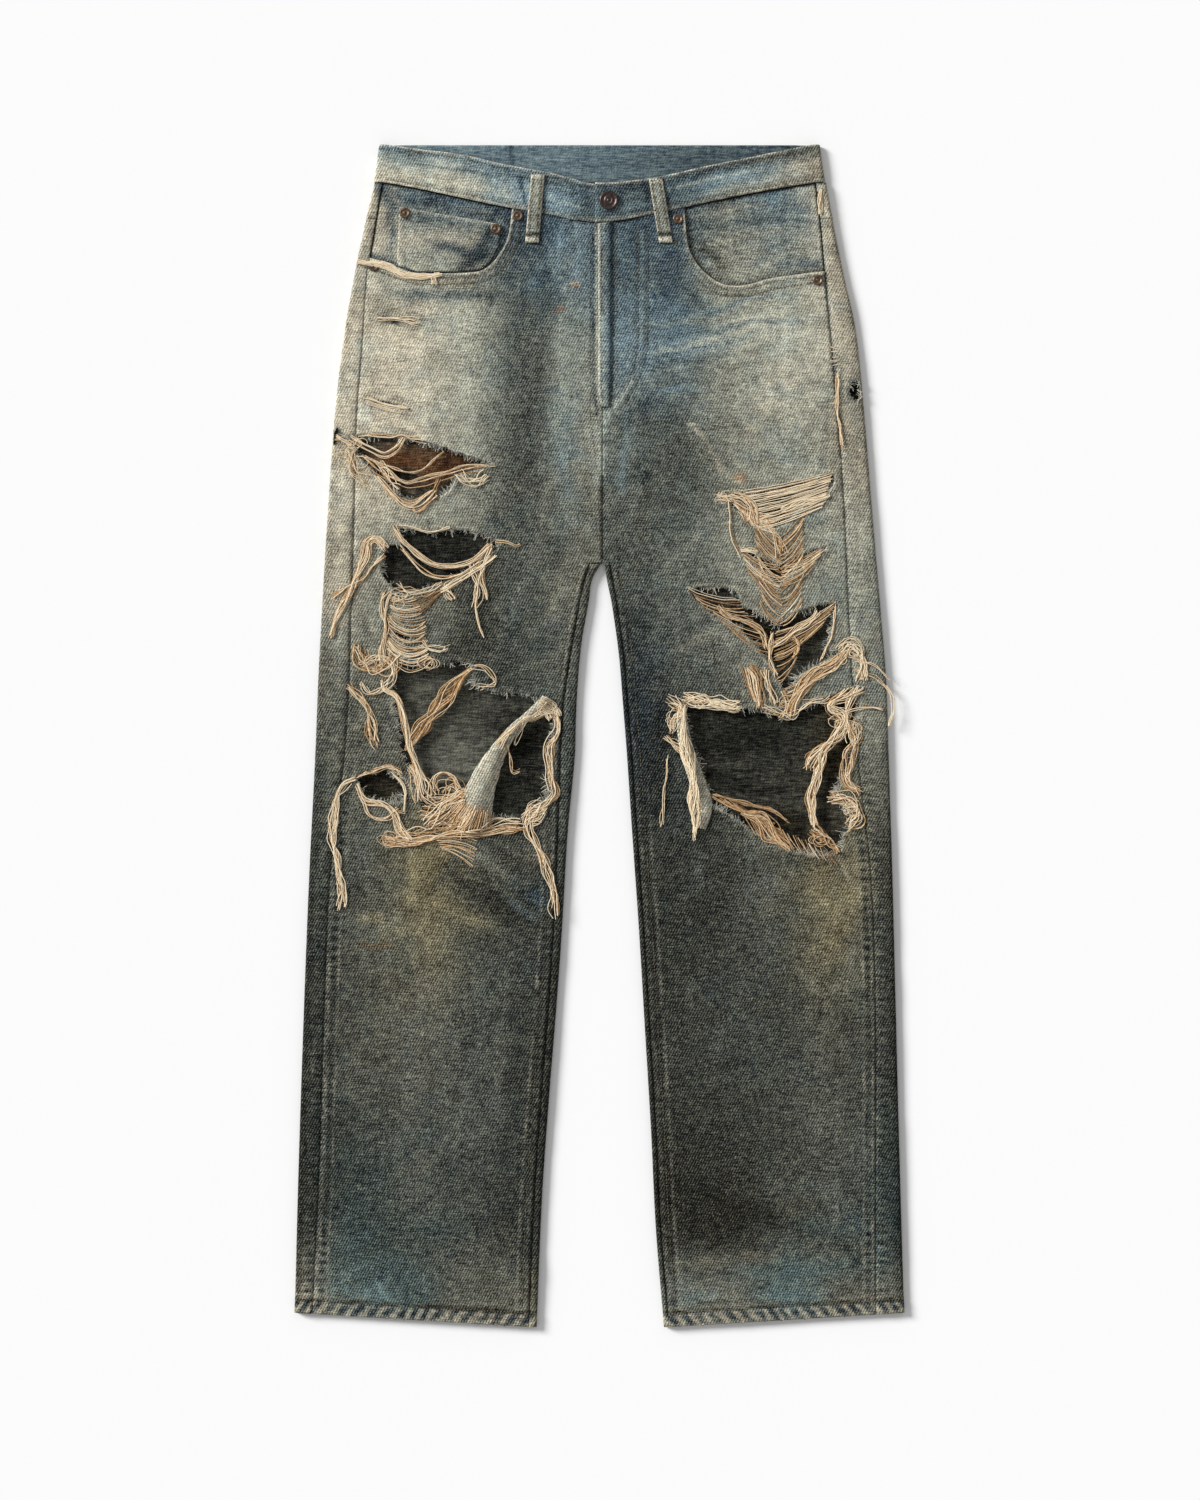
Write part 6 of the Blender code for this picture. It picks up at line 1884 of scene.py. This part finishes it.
def stitch_height(x, y):
    """Height of whatever cloth a stitch goes into."""
    z = cover(x, y) + 0.25
    low, high = band_low(x), band_top(x)
    on_band = (y > low) & (y < high + 1)
    lift = np.where((x > -4) & (x < BAND_END[1]), OVER_LIFT, 0)
    z = np.where(on_band, BAND_FACE + 0.4 + lift, z)
    on_loop = (np.abs(x + 60) < 9) | (np.abs(x - 57) < 11)
    on_loop &= (y > 458) & (np.abs(y - 490) < 34)
    z = np.where(on_loop, np.where(y > 484, BAND_FACE + 2.9, LIE + 2.5), z)
    on_fly = (x > -1.5) & (x < 10.8) & (y > 306) & (y < low)
    return np.where(on_fly, cover(x, y) + 2.1, z)


def stitches(name):
    """Topstitching, grown row by row with what is left of each."""
    settings = trim_settings()
    parts = []
    for kept in sorted({share for _, share in stitch_routes()}):
        lines = []
        for route, share in stitch_routes():
            if share == kept:
                line = spaced(route, 3.0)
                z = stitch_height(line[:, 0], line[:, 1])
                lines.append((np.column_stack([line, z]), 0.4, 0.5))
        parts.append(grown(name + "_part", lines, stitch_tree(), Pitch=settings.pitch,
                           Length=settings.pitch * 0.78, Width=settings.thread, Kept=kept,
                           Seed=int(kept * 100), Material=stitch_thread()))
    return joined(name, parts)


def joined(name, parts):
    """Several objects' meshes as one object."""
    bm = bmesh.new()
    for part in parts:
        bm.from_mesh(part.data)
    mesh = bpy.data.meshes.new(name)
    bm.to_mesh(mesh)
    bm.free()
    mesh.materials.append(parts[0].data.materials[0])
    mesh.shade_smooth()
    for part in parts:
        bpy.data.objects.remove(part, do_unlink=True)
    return new_object(name, mesh)


def lathe(name, profile, steps, material, place=(0, 0, 0), dents=0.0):
    """A round piece from its profile, with the wear of a stamped part."""
    r, z = spaced(profile, 0.28).T
    rows = []
    for k in range(steps):
        a = 2 * math.pi * k / steps
        bump = dents * noise(r * math.cos(a), r * math.sin(a), 1.6, 121) * np.clip(r / 2, 0, 1)
        rows.append(np.stack([r * math.cos(a), r * math.sin(a), z + bump], 1))
    grid = np.array(rows + rows[:1])
    points = grid.reshape(-1, 3) + np.array(place)
    mesh = bpy.data.meshes.new(name)
    mesh.from_pydata((points * MM).tolist(), [], grid_faces(*grid.shape[:2]).tolist())
    bm = bmesh.new()
    bm.from_mesh(mesh)
    bmesh.ops.remove_doubles(bm, verts=bm.verts, dist=0.00002)
    bmesh.ops.dissolve_degenerate(bm, edges=bm.edges, dist=0.000005)
    bmesh.ops.recalc_face_normals(bm, faces=bm.faces)
    bm.to_mesh(mesh)
    bm.free()
    mesh.materials.append(material)
    mesh.shade_smooth()
    return new_object(name, mesh)


RIVETS = {
    "rivet_side_right": (-210, 437), "rivet_inner_right": (-76, 484),
    "rivet_inner_left": (73, 481), "rivet_side_left": (203, 424),
    "rivet_coin_outer": (-181, 486.5), "rivet_coin_inner": (-96.5, 471.5)}


def rivets(name):
    """Domed burrs with a nipple in the middle, one at each end of the pocket openings."""
    copper = worn_metal("oxidised_copper", trim_settings().copper, 0.42)
    template = lathe(name + "_template", [
        (0.01, 2.1), (0.9, 2.0), (1.4, 1.2), (1.9, 0.8), (2.6, 1.05), (3.4, 1.75), (4.2, 1.7),
        (4.8, 1.0), (5.0, 0.1), (4.9, -0.2)], 36, copper, dents=0.14)
    mesh = bpy.data.meshes.new(name + "_points")
    mesh.from_pydata([(x * MM, y * MM, (float(cover(x, y)) + 0.2) * MM)
                      for x, y in RIVETS.values()], [], [])
    pieces = run_tree(new_object(name + "_points", mesh), name, rivet_tree(), Rivet=template,
                      Material=copper)
    bpy.data.objects.remove(template, do_unlink=True)
    return pieces


def button(name):
    """Shank button: a dished cap with rings, a raised middle and a rolled rim."""
    metal = worn_metal("dark_shank_metal", trim_settings().button, 0.38)
    return lathe(name, [
        (0.01, 4.1), (1.2, 4.1), (1.6, 3.7), (2.2, 3.6), (2.6, 3.9), (3.6, 4.1), (4.2, 3.8),
        (4.6, 3.4), (5.6, 3.3), (6.2, 3.6), (7.0, 4.1), (7.9, 4.2), (8.6, 3.7), (8.85, 2.9),
        (8.6, 2.0), (8.0, 1.4), (4.0, 1.1), (3.4, 0.0)], 72, metal,
        (8.8, 497.5, BAND_FACE + OVER_LIFT + 0.3), 0.10)


# ---- operators ----

class Piece(bpy.types.Operator):
    """Shared by the operators that build pieces."""
    bl_options = {'REGISTER', 'UNDO'}

    def execute(self, context):
        self.build()
        return {'FINISHED'}


class JEANS_OT_fronts(Piece):
    """Front panels with their rips and pocket openings"""
    bl_idname, bl_label = "jeans.fronts", "Front panels"

    def build(self):
        for s, side in LEGS:
            finished(front(s, "front_" + side + "_cloth"), ["front_" + side])


class JEANS_OT_backs(Piece):
    """Back panels, yokes, back pockets and the loops underneath"""
    bl_idname, bl_label = "jeans.backs", "Back"

    def build(self):
        for s, side in LEGS:
            finished(back(s, "back_" + side + "_cloth"), ["back_" + side])
            finished(yoke(s, "yoke_" + side + "_cloth"), ["yoke_" + side])
            shape = [(-74, 444), (74, 440), (65, 299), (-4, 277), (-65, 301)]
            pocket = plate("pocket_back_" + side + "_cloth",
                           [(s * (112 + x), y) for x, y in shape], "w56")
            finished(pocket, ["pocket_back_" + side])
        for x, name in ((-128, "loop_side_right"), (128, "loop_side_left"), (-2, "loop_centre")):
            outline = [(x - 5, 500), (x + 5, 500), (x + 5, 549.5), (x - 5, 549.5)]
            finished(plate(name + "_cloth", outline, "w60"), [name])


class JEANS_OT_waist(Piece):
    """Waistband, pocket facings, coin pocket, fly edge and front loops"""
    bl_idname, bl_label = "jeans.waist", "Waist"

    def build(self):
        finished(waistband("waistband_cloth"), ["waistband"])
        finished(facing(-1, "facing_right_cloth", 72.0, 424.0), ["facing_right"])
        finished(facing(1, "facing_left_cloth", 70.0, 412.0), ["facing_left"])
        finished(coin_pocket("coin_pocket_cloth"), ["coin_pocket"])
        finished(fly_edge("fly_edge_cloth"), ["fly_edge"])
        finished(belt_loop("loop_front_right_cloth", -57.2, -62.8, 522.0, 458.5, 486.5),
                 ["loop_front_right"])
        finished(belt_loop("loop_front_left_cloth", 52.1, 61.8, 518.0, 458.5, 485.0),
                 ["loop_front_left"])


class JEANS_OT_flaps(Piece):
    """The two torn tongues of cloth at the knees"""
    bl_idname, bl_label = "jeans.flaps", "Torn tongues"

    def build(self):
        for name in FLAPS:
            finished(flap(name, name + "_cloth"), [name])


class JEANS_OT_yarns(Piece):
    """Loose yarns across and below the rips"""
    bl_idname, bl_label = "jeans.yarns", "Loose yarns"

    def build(self):
        for s, side in LEGS:
            nodes = [name for name in THREAD_NODES if name.endswith(side)]
            finished(yarns(s, "yarns_" + side), nodes)


class JEANS_OT_fuzz(Piece):
    """Cut yarn ends along the torn edges"""
    bl_idname, bl_label = "jeans.fuzz", "Torn edges"

    def build(self):
        for s, side in LEGS:
            finished(fuzz(s, "cut_ends_" + side))


class JEANS_OT_stitches(Piece):
    """Topstitching"""
    bl_idname, bl_label = "jeans.stitches", "Topstitching"

    def build(self):
        finished(stitches("topstitching"))


class JEANS_OT_hardware(Piece):
    """Rivets and waist button"""
    bl_idname, bl_label = "jeans.hardware", "Hardware"

    def build(self):
        finished(rivets("rivets"), list(RIVETS))
        finished(button("shank_button_cap"), ["button"])


class JEANS_OT_cuts(Piece):
    """Makes no change to the scene"""
    bl_idname, bl_label = "jeans.cuts", "Cuts"

    def build(self):
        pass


class JEANS_OT_stage(Piece):
    """Pale surface, soft light from the upper left, and the camera straight above"""
    bl_idname, bl_label = "jeans.stage", "Stage"

    def build(self):
        settings = bpy.context.scene.jeans_stage
        mesh = bpy.data.meshes.new("floor")
        mesh.from_pydata([(-4, -4, -0.0002), (4, -4, -0.0002), (4, 4, -0.0002), (-4, 4, -0.0002)],
                         [], [(0, 1, 2, 3)])
        floor = new_object("floor", mesh)
        mesh.materials.append(pale_surface(settings.floor))
        sun = bpy.data.lights.new("key", 'SUN')
        sun.energy, sun.angle = settings.key, math.radians(20)
        lamp = bpy.data.objects.new("key", sun)
        lamp.rotation_euler = Vector((-0.86, 0.45, 0.52)).to_track_quat('Z', 'Y').to_euler()
        bpy.context.scene.collection.objects.link(lamp)
        world = bpy.data.worlds.new("even_light")
        world.use_nodes = True
        world.node_tree.nodes["Background"].inputs["Color"].default_value = (1, 1, 1, 1)
        world.node_tree.nodes["Background"].inputs["Strength"].default_value = settings.fill
        bpy.context.scene.world = world
        bpy.context.scene.view_settings.view_transform = 'Standard'
        lens = bpy.data.cameras.new("camera")
        lens.lens, lens.sensor_width = 85, 36
        lens.dof.use_dof = False
        camera = bpy.data.objects.new("camera", lens)
        camera.location = (0.0005, -0.013, 3.300)
        bpy.context.scene.collection.objects.link(camera)
        bpy.context.scene.camera = camera


def pale_surface(colour):
    """Matt pale surface. It throws less light on to the cloth than it shows to the camera."""
    mat, tree, shader = new_material("pale_surface", 0.9, 0.0)
    if tree is None:
        return mat
    path = add(tree, 'ShaderNodeLightPath').outputs
    seen = add(tree, 'ShaderNodeMath', {0: path["Is Camera Ray"], 1: path["Is Glossy Ray"]},
               operation='MAXIMUM').outputs[0]
    mixed = add(tree, 'ShaderNodeMix', {
        0: seen, 6: (*[0.7 * c for c in colour], 1), 7: (*colour, 1)}, data_type='RGBA')
    tree.links.new(mixed.outputs[2], shader.inputs["Base Color"])
    return mat


OPERATORS = (JEANS_OT_fronts, JEANS_OT_backs, JEANS_OT_waist, JEANS_OT_flaps, JEANS_OT_yarns,
             JEANS_OT_fuzz, JEANS_OT_stitches, JEANS_OT_hardware, JEANS_OT_stage, JEANS_OT_cuts)


class JEANS_PT_panel(bpy.types.Panel):
    """Builds the jeans a piece at a time"""
    bl_idname, bl_label = "JEANS_PT_panel", "Ripped jeans"
    bl_space_type, bl_region_type, bl_category = 'VIEW_3D', 'UI', "Jeans"

    def draw(self, context):
        scene = context.scene
        for group in (scene.jeans_cloth, scene.jeans_threads, scene.jeans_trim, scene.jeans_stage):
            box = self.layout.box()
            for name in group.bl_rna.properties.keys():
                if name not in ("rna_type", "name"):
                    box.prop(group, name)
        for operator in OPERATORS:
            self.layout.operator(operator.bl_idname)


GROUPS = {"jeans_cloth": JeansCloth, "jeans_threads": JeansThreads, "jeans_trim": JeansTrim,
          "jeans_stage": JeansStage}


def register():
    for kind in (*GROUPS.values(), *OPERATORS, JEANS_PT_panel):
        bpy.utils.register_class(kind)
    for name, kind in GROUPS.items():
        setattr(bpy.types.Scene, name, PointerProperty(type=kind))


def unregister():
    for name in GROUPS:
        delattr(bpy.types.Scene, name)
    for kind in (JEANS_PT_panel, *OPERATORS, *GROUPS.values()):
        bpy.utils.unregister_class(kind)


def main():
    register()
    for operator in OPERATORS:
        group, name = operator.bl_idname.split(".")
        getattr(getattr(bpy.ops, group), name)()


if __name__ == "__main__":
    main()
